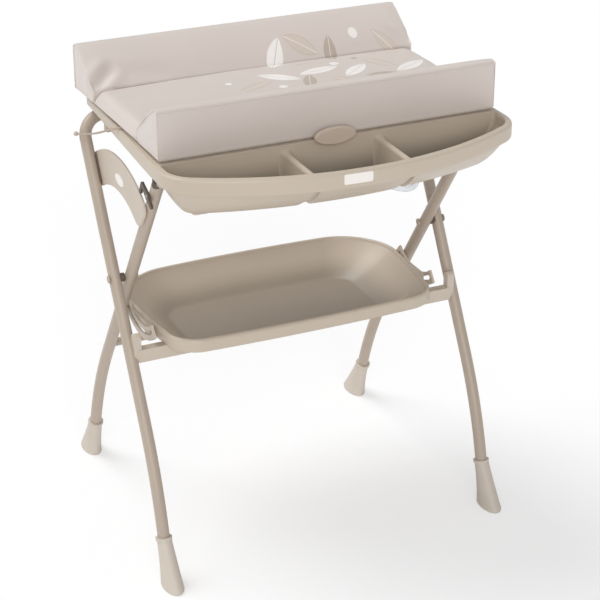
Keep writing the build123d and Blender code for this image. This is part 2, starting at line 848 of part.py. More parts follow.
with BuildPart() as hinge_leaf:
    with BuildSketch(Plane.YZ.offset(-hinge_x - hinge_half)):
        with Locations((hinge_y, hinge_z)):
            Circle(hinge_knuckle_radius)
        with BuildLine():
            Polyline(
                (mat_back - board_margin, rim_height + mat_gap),
                (mat_back - board_margin, rim_height + mat_gap + board_thick),
                (hinge_y + hinge_knuckle_radius, rim_height + mat_gap + board_thick),
                (hinge_y + hinge_knuckle_radius, hinge_z),
                (hinge_y, hinge_z),
                (hinge_y - hinge_pin_radius, rim_height + mat_gap),
                close=True,
            )
        make_face()
        with Locations((hinge_y, hinge_z)):
            Circle(hinge_pin_radius + running_clearance, mode=Mode.SUBTRACT)
    extrude(amount=hinge_leaf_width)
save_both(hinge_leaf.part, "mat_hinge_leaves")
save_both(hinge_bracket.part, "mat_hinge_brackets")

# The shell's last cuts: label recess and screw holes
with BuildPart() as tub_done:
    add(tub_shell.part)
    add(label_plate.part, mode=Mode.SUBTRACT)
    add(clip_screw.part, mode=Mode.SUBTRACT)
    add(mirror(clip_screw.part, about=Plane.YZ), mode=Mode.SUBTRACT)
save(tub_done.part, "tub_shell")


# Sector plates in the gap between the legs, fixed to the outer pair
plate_half = leg_gap / 2 - sector_gap
gap_x = outer_leg_x - tube_radius - leg_gap / 2
pivot = (0, pivot_height)


def sector(inner, outer, back_angle, front_angle):
    """Ring sector about the pivot; angles lean towards the front."""
    size = front_angle - back_angle
    with BuildSketch() as shape:
        with BuildLine():
            outer_arc = CenterArc(pivot, outer, 90 + back_angle, size)
            inner_arc = CenterArc(pivot, inner, 90 + back_angle, size)
            Line(outer_arc @ 0, inner_arc @ 0)
            Line(outer_arc @ 1, inner_arc @ 1)
        make_face()
    return shape.sketch


with BuildPart() as side_plate:
    with BuildSketch(Plane.YZ.offset(-gap_x - plate_half)) as plate_face:
        add(sector(sector_inner, sector_outer, sector_back_angle, sector_front_angle))
        fillet(plate_face.vertices().group_by(Axis.X)[0], sector_tip_radius)
        fillet(plate_face.vertices().group_by(Axis.X)[-1], sector_heel_radius)
        with Locations(rivet_places):
            Circle(rivet_radius, mode=Mode.SUBTRACT)
    extrude(amount=2 * plate_half)
save_pair(side_plate.part, "side_plate")

with BuildPart() as plate_seat:
    with BuildSketch(Plane.YZ.offset(-gap_x - plate_half)):
        with Locations(lean_point((sector_seat_inner + sector_seat_outer) / 2, -outer_lean)):
            Rectangle(2 * sector_seat_half, sector_seat_outer - sector_seat_inner, rotation=-outer_lean)
        with Locations(rivet_places):
            Circle(rivet_radius, mode=Mode.SUBTRACT)
    extrude(amount=-sector_seat_thick)
    add(front_bar, mode=Mode.SUBTRACT)
save_both(plate_seat.part, "side_plate_seats")

with BuildPart() as plate_rivet:
    with BuildSketch(Plane.YZ.offset(-outer_leg_x)):
        with Locations(rivet_places):
            Circle(rivet_radius)
    extrude(amount=outer_leg_x - gap_x + plate_half)
    with BuildSketch(Plane.YZ.offset(-gap_x + plate_half)):
        with Locations(rivet_places):
            Circle(rivet_head_radius)
    extrude(amount=rivet_head)
save_both(plate_rivet.part, "side_plate_rivets")

badge_place = lean_point(side_badge_reach, side_badge_angle)
with BuildPart() as side_badge:
    with BuildSketch(Plane.YZ.offset(-gap_x - plate_half)):
        with Locations(badge_place):
            Ellipse(side_badge_length / 2, side_badge_width / 2, rotation=side_badge_angle)
    extrude(amount=-sector_gap)
save_both(side_badge.part, "side_badges")

# Scissor pins and the spacers on them
outer_face = outer_leg_x + tube_radius
inner_face = inner_leg_x - tube_radius
with BuildPart() as scissor_pin:
    with BuildSketch(Plane.YZ.offset(-outer_face)):
        with Locations(pivot):
            Circle(pin_radius)
    extrude(amount=outer_face - inner_face + seat_gap)
    with BuildSketch(Plane.YZ.offset(-outer_face)):
        with Locations(pivot):
            Circle(pin_head_radius)
    extrude(amount=-pin_head)
    fillet(scissor_pin.faces().sort_by(Axis.X)[0].edges(), pin_head / 2)
    with BuildSketch(Plane.YZ.offset(-inner_face + seat_gap)):
        with Locations(pivot):
            Circle(pin_head_radius)
    extrude(amount=pin_head)
save_both(scissor_pin.part, "scissor_pins")

with BuildPart() as scissor_spacer:
    with BuildSketch(Plane.YZ.offset(seat_gap - inner_leg_x - tube_radius - leg_gap - pin_radius)):
        with Locations(pivot):
            Circle(spacer_radius)
            Circle(pin_radius, mode=Mode.SUBTRACT)
    extrude(amount=leg_gap + pin_radius - 2 * seat_gap)
    add(front_bar, mode=Mode.SUBTRACT)
save_both(scissor_spacer.part, "scissor_spacers")

# Sprung latches on the inner legs, over the plates' rims
latch_y, latch_z = lean_point(latch_reach, inner_lean)
with BuildPart() as latch:
    with BuildSketch(Plane.YZ.offset(-inner_leg_x - tube_radius - seat_gap)):
        arm_y_end, arm_z_end = lean_point(latch_reach, inner_lean - math.degrees(latch_arm / latch_reach))
        tab_y, tab_z = lean_point(latch_reach, inner_lean + math.degrees(latch_tab / latch_reach))
        with Locations((latch_y, latch_z)):
            Circle(latch_half)
        with Locations((arm_y_end, arm_z_end)):
            Circle(latch_half / 2)
        with Locations((tab_y, tab_z)):
            Circle(latch_half / 2)
        make_hull()
        finger_low = lean_point(sector_outer + latch_clear + latch_finger / 2,
                                inner_lean - math.degrees(latch_arm / latch_reach))
        with BuildSketch(mode=Mode.PRIVATE) as finger:
            with Locations((arm_y_end, arm_z_end), finger_low):
                Circle(latch_finger / 2)
            make_hull()
        add(finger.sketch)
        with Locations((latch_y, latch_z)):
            Circle(latch_pin_radius + running_clearance, mode=Mode.SUBTRACT)
    extrude(amount=-latch_thick)
save_pair(latch.part, "latch")

with BuildPart() as latch_pin:
    with BuildSketch(Plane.YZ.offset(-inner_leg_x)):
        with Locations((latch_y, latch_z)):
            Circle(latch_pin_radius)
    extrude(amount=-tube_radius - seat_gap - latch_thick)
save_both(latch_pin.part, "latch_pins")


# Storage tray
def tray_outline(inset):
    """The tray's rim seen from above, drawn in by an inset."""
    return bowed_outline(
        tray_front + inset, tray_back - inset, tray_half_front - inset, tray_half_back - inset,
        tray_front_corner - inset, tray_back_corner - inset,
        (tray_front_bow, tray_side_bow, tray_back_bow),
    )


def tray_floor(wall):
    """The tray's floor seen from above, drawn in by its wall."""
    return bowed_outline(
        tray_floor_front + wall, tray_floor_back - wall,
        tray_floor_half_width - wall, tray_floor_half_width - wall,
        tray_floor_corner - wall, tray_floor_corner - wall,
        (tray_front_bow / 2, tray_side_bow / 2, tray_back_bow / 2),
    )


def tray_hull(inset, wall):
    """The tray's bowl, from the rim down to the floor."""
    with BuildPart() as bowl:
        with BuildSketch(Plane.XY.offset(tray_height)):
            add(tray_outline(inset))
        with BuildSketch(Plane.XY.offset(tray_height - tray_depth + wall)):
            add(tray_floor(wall))
        loft()
        fillet(bowl.faces().sort_by(Axis.Z)[0].edges(), tray_bottom_edge - wall)
    return bowl.part


tray_body = tray_hull(tray_lip - tray_wall, 0)
tray_space = tray_hull(tray_lip, tray_wall)
with BuildPart() as storage_tray:
    with BuildSketch(Plane.XY.offset(tray_height)):
        add(tray_outline(0))
    extrude(amount=-tray_band)
    with BuildSketch(Plane.XY.offset(tray_height - tray_wall)):
        add(tray_outline(tray_wall))
    extrude(amount=-tray_band, mode=Mode.SUBTRACT)
    fillet(storage_tray.faces().sort_by(Axis.Z)[-1].edges(), tray_wall * arc_share)
    add(tray_body)
    add(tray_space, mode=Mode.SUBTRACT)
save(storage_tray.part, "storage_tray")

with BuildPart() as tray_block:
    with BuildSketch(Plane.XY.offset(tray_height)):
        add(tray_outline(0))
    extrude(amount=-tray_band - tray_depth)

guide_low_angle = guide_front_angle - 180
guide_high_angle = inner_lean - 180
slot_half = guide_pin_radius + guide_slot_gap
with BuildPart() as tray_guide:
    with BuildSketch(Plane.YZ.offset(-guide_x - guide_plate)):
        add(sector(guide_inner, guide_outer, guide_low_angle - guide_end_margin,
                   guide_high_angle + guide_end_margin))
        add(sector(guide_reach - slot_half, guide_reach + slot_half, guide_low_angle, guide_high_angle),
            mode=Mode.SUBTRACT)
        with Locations(lean_point(guide_reach, guide_low_angle), lean_point(guide_reach, guide_high_angle)):
            Circle(slot_half, mode=Mode.SUBTRACT)
    extrude(amount=guide_plate)
    with BuildSketch(Plane.YZ.offset(-guide_x)):
        with Locations((0, (guide_block_low + guide_block_high) / 2)):
            Rectangle(2 * guide_block_half, guide_block_high - guide_block_low)
    extrude(amount=guide_x - tray_half_front + tray_wall)
    add(tray_block.part, mode=Mode.SUBTRACT)
save_pair(tray_guide.part, "tray_guide")

with BuildPart() as guide_pin:
    with BuildSketch(Plane.YZ.offset(-inner_leg_x)):
        with Locations(lean_point(-guide_reach, inner_lean)):
            Circle(guide_pin_radius)
    extrude(amount=inner_leg_x - guide_x - seat_gap)
save_both(guide_pin.part, "guide_pins")

with BuildPart() as tray_arm:
    with BuildSketch(Plane.YZ.offset(-outer_leg_x + tube_radius - hook_half)):
        with Locations((arm_y, hook_top - hook_half)):
            Circle(hook_half)
        with Locations((arm_y, (hook_top - hook_half + hook_foot) / 2)):
            Rectangle(2 * hook_half, hook_top - hook_half - hook_foot)
    extrude(amount=hook_half + leg_gap - seat_gap)
    with BuildSketch(Plane.YZ.offset(-outer_leg_x + tube_radius)):
        with Locations((arm_y, tray_height - tray_band - arm_height / 2)):
            Rectangle(2 * arm_half, arm_height)
    extrude(amount=outer_leg_x - tube_radius - arm_end_x)
    add(front_bar, mode=Mode.SUBTRACT)
    add(tray_body, mode=Mode.SUBTRACT)
save_pair(tray_arm.part, "tray_arm")

# Changing mat: a board, a crowned pad and two wedge bolsters
board_low = rim_height + mat_gap
board_top = board_low + board_thick
with BuildPart() as mat_board:
    with BuildSketch(Plane.XY.offset(board_low)):
        with Locations((0, (mat_front + mat_back) / 2)):
            Rectangle(2 * (mat_half_width - board_margin), mat_back - mat_front - 2 * board_margin)
    extrude(amount=board_thick)
save(mat_board.part, "mat_board")

soft_low = board_top + mat_gap
pad_top = soft_low + pad_thick
mat_height = soft_low + bolster_height


def bolster(outer_y, side):
    """Wedge bolster: upright outside, sloping down to the pad inside."""
    inner_y = outer_y + side * bolster_depth
    crest_y = outer_y + side * bolster_crest
    with BuildPart() as wedge:
        with BuildSketch(Plane.YZ.offset(-mat_half_width)):
            with BuildLine():
                ThreePointArc((outer_y + side * bolster_bow, soft_low),
                              (outer_y, (soft_low + mat_height) / 2),
                              (outer_y + side * bolster_bow, mat_height - bolster_bow))
                ThreePointArc((outer_y + side * bolster_bow, mat_height - bolster_bow),
                              (outer_y + side * bolster_crest / 2, mat_height),
                              (crest_y, mat_height - bolster_bow))
                ThreePointArc((crest_y, mat_height - bolster_bow),
                              ((crest_y + inner_y) / 2 + side * bolster_bow,
                               (mat_height - bolster_bow + pad_top) / 2 + bolster_bow),
                              (inner_y, pad_top))
                Polyline((inner_y, pad_top), (inner_y, soft_low), (outer_y + side * bolster_bow, soft_low))
            make_face()
        extrude(amount=2 * mat_half_width)
        for ends in (wedge.faces().sort_by(Axis.X)[0], wedge.faces().sort_by(Axis.X)[-1]):
            chamfer(ends.edges().filter_by(GeomType.CIRCLE), soft_edge / 2)
    return wedge.part


front_bolster_part = bolster(mat_front, 1)
back_bolster_part = bolster(mat_back, -1)
save(front_bolster_part, "front_bolster")
save(back_bolster_part, "back_bolster")

pad_front = mat_front + bolster_depth + mat_gap
pad_back = mat_back - bolster_depth - mat_gap
with BuildPart() as mat_pad:
    with BuildSketch(Plane.XZ.offset(-pad_back)):
        with BuildLine():
            ThreePointArc((-mat_half_width + soft_edge, pad_top - soft_edge),
                          (0, pad_top + pad_crown), (mat_half_width - soft_edge, pad_top - soft_edge))
            ThreePointArc((mat_half_width - soft_edge, pad_top - soft_edge),
                          (mat_half_width, (soft_low + pad_top) / 2), (mat_half_width - soft_edge, soft_low))
            Line((mat_half_width - soft_edge, soft_low), (-mat_half_width + soft_edge, soft_low))
            ThreePointArc((-mat_half_width + soft_edge, soft_low),
                          (-mat_half_width, (soft_low + pad_top) / 2),
                          (-mat_half_width + soft_edge, pad_top - soft_edge))
        make_face()
    extrude(amount=pad_back - pad_front)
save(mat_pad.part, "mat_pad")

crown_share = (abs(badge_x) - badge_radius) / (mat_half_width - soft_edge)
badge_top = pad_top + pad_crown - (pad_crown + soft_edge) * crown_share**2 + badge_thick
with BuildPart() as mat_badge:
    with BuildSketch(Plane.XY.offset(badge_top)):
        with Locations((badge_x, badge_y)):
            Circle(badge_radius)
    extrude(amount=-soft_edge)
    add(mat_pad.part, mode=Mode.SUBTRACT)
save(mat_badge.part, "mat_badge")

# Front catch of the mat: an oval tab on a pin between two ears
with BuildPart() as catch_mount:
    for start in (-catch_lug_half - seat_gap - catch_ear, catch_lug_half + seat_gap):
        with BuildSketch(Plane.YZ.offset(start)):
            with Locations((catch_pivot_y, catch_pivot_z)):
                Circle(catch_lug_radius)
            with Locations((catch_pivot_y, (board_low + catch_pivot_z) / 2)):
                Rectangle(2 * catch_lug_radius, catch_pivot_z - board_low)
            with Locations((catch_pivot_y, catch_pivot_z)):
                Circle(catch_pin_radius, mode=Mode.SUBTRACT)
        extrude(amount=catch_ear)
    with BuildSketch(Plane.XY.offset(board_low)):
        with Locations((0, (catch_pivot_y - catch_lug_radius + mat_front + board_margin) / 2)):
            Rectangle(2 * (catch_lug_half + seat_gap + catch_ear),
                      mat_front + board_margin - catch_pivot_y + catch_lug_radius)
    extrude(amount=board_thick - mat_gap)
save(catch_mount.part, "catch_mount")

with BuildPart() as catch_pin:
    with BuildSketch(Plane.YZ.offset(-catch_lug_half - seat_gap - catch_ear)):
        with Locations((catch_pivot_y, catch_pivot_z)):
            Circle(catch_pin_radius)
    extrude(amount=2 * (catch_lug_half + seat_gap + catch_ear))
save(catch_pin.part, "catch_pin")

with BuildPart() as mat_catch:
    with BuildSketch(Plane.XZ.offset(-catch_face_y - catch_thick)):
        with Locations((0, catch_z)):
            Ellipse(catch_width / 2, catch_height / 2)
    extrude(amount=catch_thick)
    fillet(mat_catch.faces().sort_by(Axis.Y)[0].edges(), catch_thick * arc_share)
    with BuildSketch(Plane.YZ.offset(-catch_lug_half)):
        with Locations((catch_pivot_y, catch_pivot_z)):
            Circle(catch_lug_radius)
        with Locations(((catch_face_y + catch_thick + catch_pivot_y) / 2, catch_pivot_z)):
            Rectangle(catch_pivot_y - catch_face_y - catch_thick, 2 * catch_lug_radius)
        with Locations((catch_pivot_y, catch_pivot_z)):
            Circle(catch_pin_radius + running_clearance, mode=Mode.SUBTRACT)
    extrude(amount=2 * catch_lug_half)
save(mat_catch.part, "mat_catch")

# Elastic cords from the mat to the outer legs, each with a ball on its end
elastic_radii = arc_radii(elastic_points)
with BuildLine() as elastic_route:
    FilletPolyline(*elastic_points, radius=elastic_radii)
elastic_length = elastic_route.wires()[0].length
print("elastic length", round(elastic_length, 1), "radii", [round(r) for r in elastic_radii])
save_pair(swept(elastic_route.line, elastic_radius, 0), "elastic")
with BuildPart() as elastic_ball:
    with Locations(elastic_points[-1]):
        Sphere(elastic_ball_radius)
    add(swept(elastic_route.line, elastic_radius, 0), mode=Mode.SUBTRACT)
save_both(elastic_ball.part, "elastic_balls")
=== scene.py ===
"""Looks of a folding changing table with a bathtub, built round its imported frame.

Everything is in metres. Sizes along Y are measured from the scissor pivot, as in the part's
own drawing, and PIVOT_Y takes them into the object's frame.
"""

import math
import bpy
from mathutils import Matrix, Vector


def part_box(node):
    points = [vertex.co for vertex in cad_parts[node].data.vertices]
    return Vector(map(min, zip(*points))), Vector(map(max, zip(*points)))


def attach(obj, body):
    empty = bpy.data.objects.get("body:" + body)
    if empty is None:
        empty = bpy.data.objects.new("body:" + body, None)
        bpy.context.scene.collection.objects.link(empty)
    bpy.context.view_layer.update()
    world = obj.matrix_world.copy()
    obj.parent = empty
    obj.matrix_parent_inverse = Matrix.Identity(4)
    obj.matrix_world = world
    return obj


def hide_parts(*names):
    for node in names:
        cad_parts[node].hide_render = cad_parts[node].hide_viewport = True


bl_info = {
    "name": "Changing Table Looks",
    "version": (1, 0, 0),
    "blender": (4, 5, 0),
    "location": "3D View > Sidebar > Changing Table",
    "description": "Builds the visible pieces of a folding changing table and its studio",
    "category": "Object",
}

import bmesh
import bpy
from bpy.props import FloatProperty, FloatVectorProperty, PointerProperty
from bpy.types import Operator, Panel, PropertyGroup
from mathutils import Euler, Matrix, Vector, noise

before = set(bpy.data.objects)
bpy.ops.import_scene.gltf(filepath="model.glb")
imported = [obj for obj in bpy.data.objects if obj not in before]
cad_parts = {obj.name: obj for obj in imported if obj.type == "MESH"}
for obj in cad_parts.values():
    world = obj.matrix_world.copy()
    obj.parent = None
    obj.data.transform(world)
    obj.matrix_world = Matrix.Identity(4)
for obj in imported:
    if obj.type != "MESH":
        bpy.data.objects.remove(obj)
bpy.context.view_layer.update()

MM = 0.001
PIVOT_Y = 28 * MM
PIVOT_Z = 575 * MM
HALF_TURN = math.pi
QUARTER_TURN = math.pi / 2


# Values that a user would change
def length(name, description, millimetres):
    """A length property with its default in millimetres."""
    return FloatProperty(name=name, description=description, default=millimetres * MM, unit="LENGTH")


def share(name, description, value):
    """A property between none and all."""
    return FloatProperty(name=name, description=description, default=value, min=0, max=1, subtype="FACTOR")


def linear(value):
    """One display value between 0 and 255 as scene light."""
    value = value / 255
    return value / 12.92 if value <= 0.04045 else ((value + 0.055) / 1.055) ** 2.4


def colour(name, description, red, green, blue):
    """A colour property whose default is given as display values."""
    default = (linear(red), linear(green), linear(blue))
    return FloatVectorProperty(
        name=name, description=description, default=default, size=3, min=0, max=1, subtype="COLOR"
    )


def power(name, description, value):
    """A light's strength, nothing or more."""
    return FloatProperty(name=name, description=description, default=value, min=0)


class TableColours(PropertyGroup):
    """Colours of the finishes."""

    tub: colour("Tub", "Moulded plastic of the tub and the tray", 192, 179, 163)
    frame_paint: colour("Frame", "Powder coat of the legs", 176, 162, 147)
    feet: colour("Feet", "Plastic of the boots", 198, 188, 176)
    plates: colour("Plates", "Plastic of the side plates and the tray's arms", 196, 184, 170)
    mat: colour("Mat", "Coated fabric of the mat", 208, 198, 191)
    mat_board: colour("Mat board", "Board under the mat", 178, 166, 153)
    catch: colour("Catch", "Oval catch of the mat and the cord ends", 196, 180, 165)
    badge: colour("Badge", "Bare badges and the bare label", 236, 231, 225)
    dark: colour("Dark plastic", "Glide pads, latches and seats", 92, 78, 68)
    fitting: colour("Fitting", "Drain fitting and plug", 222, 217, 208)
    steel: colour("Steel", "Zinc plated pins and screws", 188, 185, 180)
    hose: colour("Hose", "Clear vinyl of the drain hose", 238, 241, 244)
    elastic: colour("Elastic", "Woven elastic cord", 186, 170, 154)
    print_pale: colour("Print, pale", "Lightest tone of the mat's leaves", 243, 240, 237)
    print_mid: colour("Print, middle", "Middle tone of the mat's leaves", 204, 190, 178)
    print_deep: colour("Print, deep", "Darkest tone of the mat's leaves", 176, 160, 146)
    floor: colour("Floor", "Studio floor", 249, 249, 250)


class TubSizes(PropertyGroup):
    """Sizes of the tub."""

    height: length("Rim height", "Top of the rim over the floor", 905)
    half_front: length("Half width at the front", "Half of the rim's width in front", 368)
    half_back: length("Half width at the back", "Half of the rim's width behind", 352)
    reach: length("Front reach", "From the pivot to the rim's front", 419)
    side_end: length("Side end", "From the pivot to where the sides start to taper", 216)
    back: length("Back reach", "From the pivot to the rim's back", 214)
    bow: length("Front bow", "Radius of the bowed front", 680)
    corner: length("Front corner", "Radius of the front corners", 72)
    back_corner: length("Back corner", "Radius of the back corners", 34)
    front_drop: length("Front apron", "Height of the apron in front", 34)
    back_drop: length("Back apron", "Height of the apron behind", 19)
    lip: length("Lip", "Width of the rim round the pockets", 13)
    bay_back: length("Pockets' back", "From the pivot to the back of the pockets", 242)
    bay_depth: length("Pockets' depth", "Depth of the pockets with their floor", 97)
    basin_depth: length("Basin depth", "Depth of the basin with its floor", 162)


class TraySizes(PropertyGroup):
    """Sizes of the storage tray."""

    height: length("Rim height", "Top of the tray's rim over the floor", 478)
    depth: length("Depth", "Depth of the tray with its floor", 75)
    band: length("Band", "Height of the band round the rim", 28)
    half_front: length("Half width at the front", "Half of the rim's width in front", 298)
    half_back: length("Half width at the back", "Half of the rim's width behind", 315)
    front: length("Front reach", "From the pivot to the tray's front", 150)
    back: length("Back reach", "From the pivot to the tray's back", 208)


class MatSizes(PropertyGroup):
    """Sizes of the changing mat."""

    half_width: length("Half width", "Half of the mat's width", 357)
    front: length("Front reach", "From the pivot to the mat's front", 236)
    back: length("Back reach", "From the pivot to the mat's back", 220)
    low: length("Underside", "Height of the foam's underside", 910.6)
    top: length("Crest height", "Top of the wedges over the floor", 1008)
    bolster: length("Wedge depth", "Depth of a wedge from front to back", 109)
    pad: length("Pad thickness", "Thickness of the flat pad", 26)
    crown: length("Crown", "Rise of the pad's middle", 4)
    grain: share("Grain", "Strength of the coated fabric's grain", 0.16)


class StudioSizes(PropertyGroup):
    """Light and background."""

    key: power("Key light", "Strength of the key light", 1.7)
    front: power("Front light", "Strength of the low light in front", 1.15)
    room: power("Room light", "Strength of the light all round", 0.48)
    floor_glow: share("Floor glow", "How much of the floor is plain white to the camera", 0.5)
    floor_half: length("Floor", "Half of the floor's width", 30000)


# Shader sums
class Wire:
    """An output of a shader node; sums written on it add their Math nodes."""

    def __init__(self, finish, socket):
        self.finish = finish
        self.socket = socket

    def math(self, operation, *values):
        return self.finish.node("ShaderNodeMath", {"operation": operation}, dict(enumerate(values)))

    def __add__(self, other):
        return self.math("ADD", self, other)

    def __sub__(self, other):
        return self.math("SUBTRACT", self, other)

    def __rsub__(self, other):
        return self.math("SUBTRACT", other, self)

    def __mul__(self, other):
        return self.math("MULTIPLY", self, other)

    def __truediv__(self, other):
        return self.math("DIVIDE", self, other)

    def __abs__(self):
        return self.math("ABSOLUTE", self)

    def above(self, edge, soft):
        """1 where the value is over an edge, with a soft step."""
        return self.finish.node(
            "ShaderNodeMapRange",
            {"interpolation_type": "SMOOTHSTEP"},
            {"Value": self, "From Min": edge - soft, "From Max": edge + soft},
        )

    __radd__ = __add__
    __rmul__ = __mul__


class Finish:
    """A material with its Principled shader and the method that adds any other node."""

    def __init__(self, name, base, roughness, metallic=0.0):
        self.material = bpy.data.materials.new(name)
        self.material.use_nodes = True
        self.tree = self.material.node_tree
        self.tree.nodes.clear()
        self.shader = self.tree.nodes.new("ShaderNodeBsdfPrincipled")
        self.output = self.tree.nodes.new("ShaderNodeOutputMaterial")
        self.tree.links.new(self.shader.outputs["BSDF"], self.output.inputs["Surface"])
        self.base = (*base, 1.0)
        self.feed("Base Color", self.base)
        self.feed("Roughness", roughness)
        self.feed("Metallic", metallic)
        self.place = self.node("ShaderNodeTexCoord", out="Object")

    def node(self, kind, settings=None, values=None, out=0):
        """Add a node: its settings first, then the values or links of its sockets."""
        made = self.tree.nodes.new(kind)
        for key, value in (settings or {}).items():
            setattr(made, key, value)
        for key, value in (values or {}).items():
            if isinstance(value, Wire):
                self.tree.links.new(value.socket, made.inputs[key])
            else:
                made.inputs[key].default_value = value
        return Wire(self, made.outputs[out])

    def feed(self, socket, value):
        """Set or link a socket of the Principled shader."""
        if isinstance(value, Wire):
            self.tree.links.new(value.socket, self.shader.inputs[socket])
        else:
            self.shader.inputs[socket].default_value = value

    def axes(self):
        """X, Y and Z of the object's own places."""
        split = self.node("ShaderNodeSeparateXYZ", None, {0: self.place})
        return [Wire(self, output) for output in split.socket.node.outputs]

    def noise(self, scale, detail=2.0, stretch=(1, 1, 1)):
        """Noise over the object's own places, scale in features per metre."""
        place = self.place
        if stretch != (1, 1, 1):
            place = self.node("ShaderNodeVectorMath", {"operation": "MULTIPLY"}, {0: place, 1: stretch})
        return self.node("ShaderNodeTexNoise", None, {"Vector": place, "Scale": scale, "Detail": detail})

    def cells(self, scale):
        """Distance to the nearest cell edge over the object's own places."""
        return self.node(
            "ShaderNodeTexVoronoi", {"feature": "DISTANCE_TO_EDGE"}, {"Vector": self.place, "Scale": scale}
        )

    def mix(self, mask, first, second):
        """Blend two colours by a mask."""
        return self.node("ShaderNodeMix", {"data_type": "RGBA"}, {0: mask, 6: first, 7: second}, out=2)

    def bump(self, height, distance, strength=1.0, below=None):
        """A bump of that height, on top of another one if given."""
        values = {"Height": height, "Distance": distance, "Strength": strength}
        if below:
            values["Normal"] = below
        return self.node("ShaderNodeBump", None, values)

    def tone(self, factor):
        """The base colour made darker or lighter by a factor."""
        return (*(min(1.0, c * factor) for c in self.base[:3]), 1.0)


def moulded(name, base, roughness, texture=0.5):
    """Moulded plastic: flow marks, a fine spark texture and faint handling marks."""
    finish = Finish(name, base, roughness)
    flow = finish.noise(6, 3.0, (1, 1, 2))
    specks = finish.noise(420, 2.0)
    finish.feed("Base Color", finish.mix(flow, finish.tone(0.965), finish.tone(1.03)))
    finish.feed("Roughness", finish.noise(24, 4.0) * 0.12 + roughness - 0.06)
    waves = finish.bump(finish.noise(9, 1.0), 0.6 * MM, 0.35)
    finish.feed("Normal", finish.bump(specks, 0.05 * MM, texture, waves))
    return finish


def hollow_plastic_with_painted_shade(name, base, top, bottom, floor_shade_tone):
    """Moulded plastic inside a hollow: the same finish, with painted shade that darkens its colour towards
    the floor.
    """
    finish = moulded(name, base, 0.4, 0.4)
    height = finish.axes()[2]
    # Painted shade: a mask from the top of the hollow down to its floor, where the colour is darkest.
    depth = finish.node(
        "ShaderNodeMapRange",
        {"interpolation_type": "SMOOTHSTEP"},
        {"Value": height, "From Min": bottom, "From Max": top},
    )
    flow = finish.noise(6, 3.0, (1, 1, 2))
    # The tone at the floor, darkened by painted shade.
    low = finish.mix(flow, finish.tone(floor_shade_tone * 0.95), finish.tone(floor_shade_tone * 1.05))
    high = finish.mix(flow, finish.tone(0.95), finish.tone(1.02))
    finish.feed("Base Color", finish.mix(depth, low, high))
    return finish


def powder_coat(name, base):
    """Powder coat over steel tube: orange peel and a slight wear of the gloss."""
    finish = Finish(name, base, 0.36)
    peel = finish.noise(650, 1.0)
    finish.feed("Base Color", finish.mix(finish.noise(11, 3.0), finish.tone(0.95), finish.tone(1.03)))
    finish.feed("Roughness", finish.noise(40, 5.0) * 0.16 + 0.28)
    finish.feed("Normal", finish.bump(peel, 0.06 * MM, 0.6))
    return finish


def metal(name, base):
    """Zinc plated steel with a fine turned grain."""
    finish = Finish(name, base, 0.34, 1.0)
    grain = finish.noise(900, 2.0, (0.2, 1, 1))
    finish.feed("Base Color", finish.mix(grain, finish.tone(0.86), finish.tone(1.05)))
    finish.feed("Roughness", grain * 0.18 + 0.24)
    finish.feed("Normal", finish.bump(grain, 0.02 * MM, 0.5))
    return finish


def woven(name, base):
    """Braided elastic: slanting strands one over the other."""
    finish = Finish(name, base, 0.75)
    strands = {"bands_direction": "DIAGONAL"}
    over = finish.node("ShaderNodeTexWave", strands, {"Vector": finish.place, "Scale": 260.0})
    across = finish.noise(700, 2.0)
    finish.feed("Base Color", finish.mix(over, finish.tone(0.72), finish.tone(1.06)))
    finish.feed("Normal", finish.bump(over * 0.8 + across * 0.2, 0.25 * MM, 0.8))
    return finish


def clear_vinyl(name, base):
    """Clear soft tube with a milky tint."""
    finish = Finish(name, base, 0.12)
    finish.feed("Base Color", finish.mix(finish.noise(60, 2.0), finish.tone(0.95), finish.tone(1.0)))
    finish.feed("Roughness", finish.noise(90, 3.0) * 0.14 + 0.08)
    finish.feed("Transmission Weight", 0.85)
    finish.feed("IOR", 1.2)
    return finish


# The leaves and dots printed on the mat: places and turns as listed.
# Each row is x, y, half length, half width, turn in degrees and tone.
leaf_rows = (
    (-0.060, 0.020, 0.046, 0.015, 24, "mid"),
    (0.006, 0.052, 0.050, 0.017, -38, "pale"),
    (0.052, 0.004, 0.042, 0.014, 68, "deep"),
    (0.098, 0.060, 0.052, 0.018, 12, "pale"),
    (0.128, -0.020, 0.046, 0.015, -52, "mid"),
    (0.170, 0.034, 0.048, 0.017, 40, "pale"),
    (0.214, -0.014, 0.044, 0.015, -14, "deep"),
    (0.236, 0.062, 0.050, 0.017, -60, "mid"),
    (0.288, 0.018, 0.052, 0.018, 30, "pale"),
    (0.040, 0.150, 0.044, 0.018, 58, "pale"),
    (0.106, 0.168, 0.040, 0.016, -30, "mid"),
    (0.166, 0.146, 0.034, 0.014, 76, "deep"),
    (0.300, 0.150, 0.036, 0.014, -48, "mid"),
)
dot_rows = (
    (-0.010, -0.004, 0.009, "pale"),
    (0.078, 0.108, 0.008, "mid"),
    (0.146, 0.088, 0.010, "pale"),
    (0.200, 0.104, 0.007, "deep"),
    (0.262, -0.030, 0.009, "pale"),
    (0.232, 0.176, 0.010, "pale"),
    (0.258, 0.120, 0.006, "mid"),
    (-0.104, 0.056, 0.007, "pale"),
)


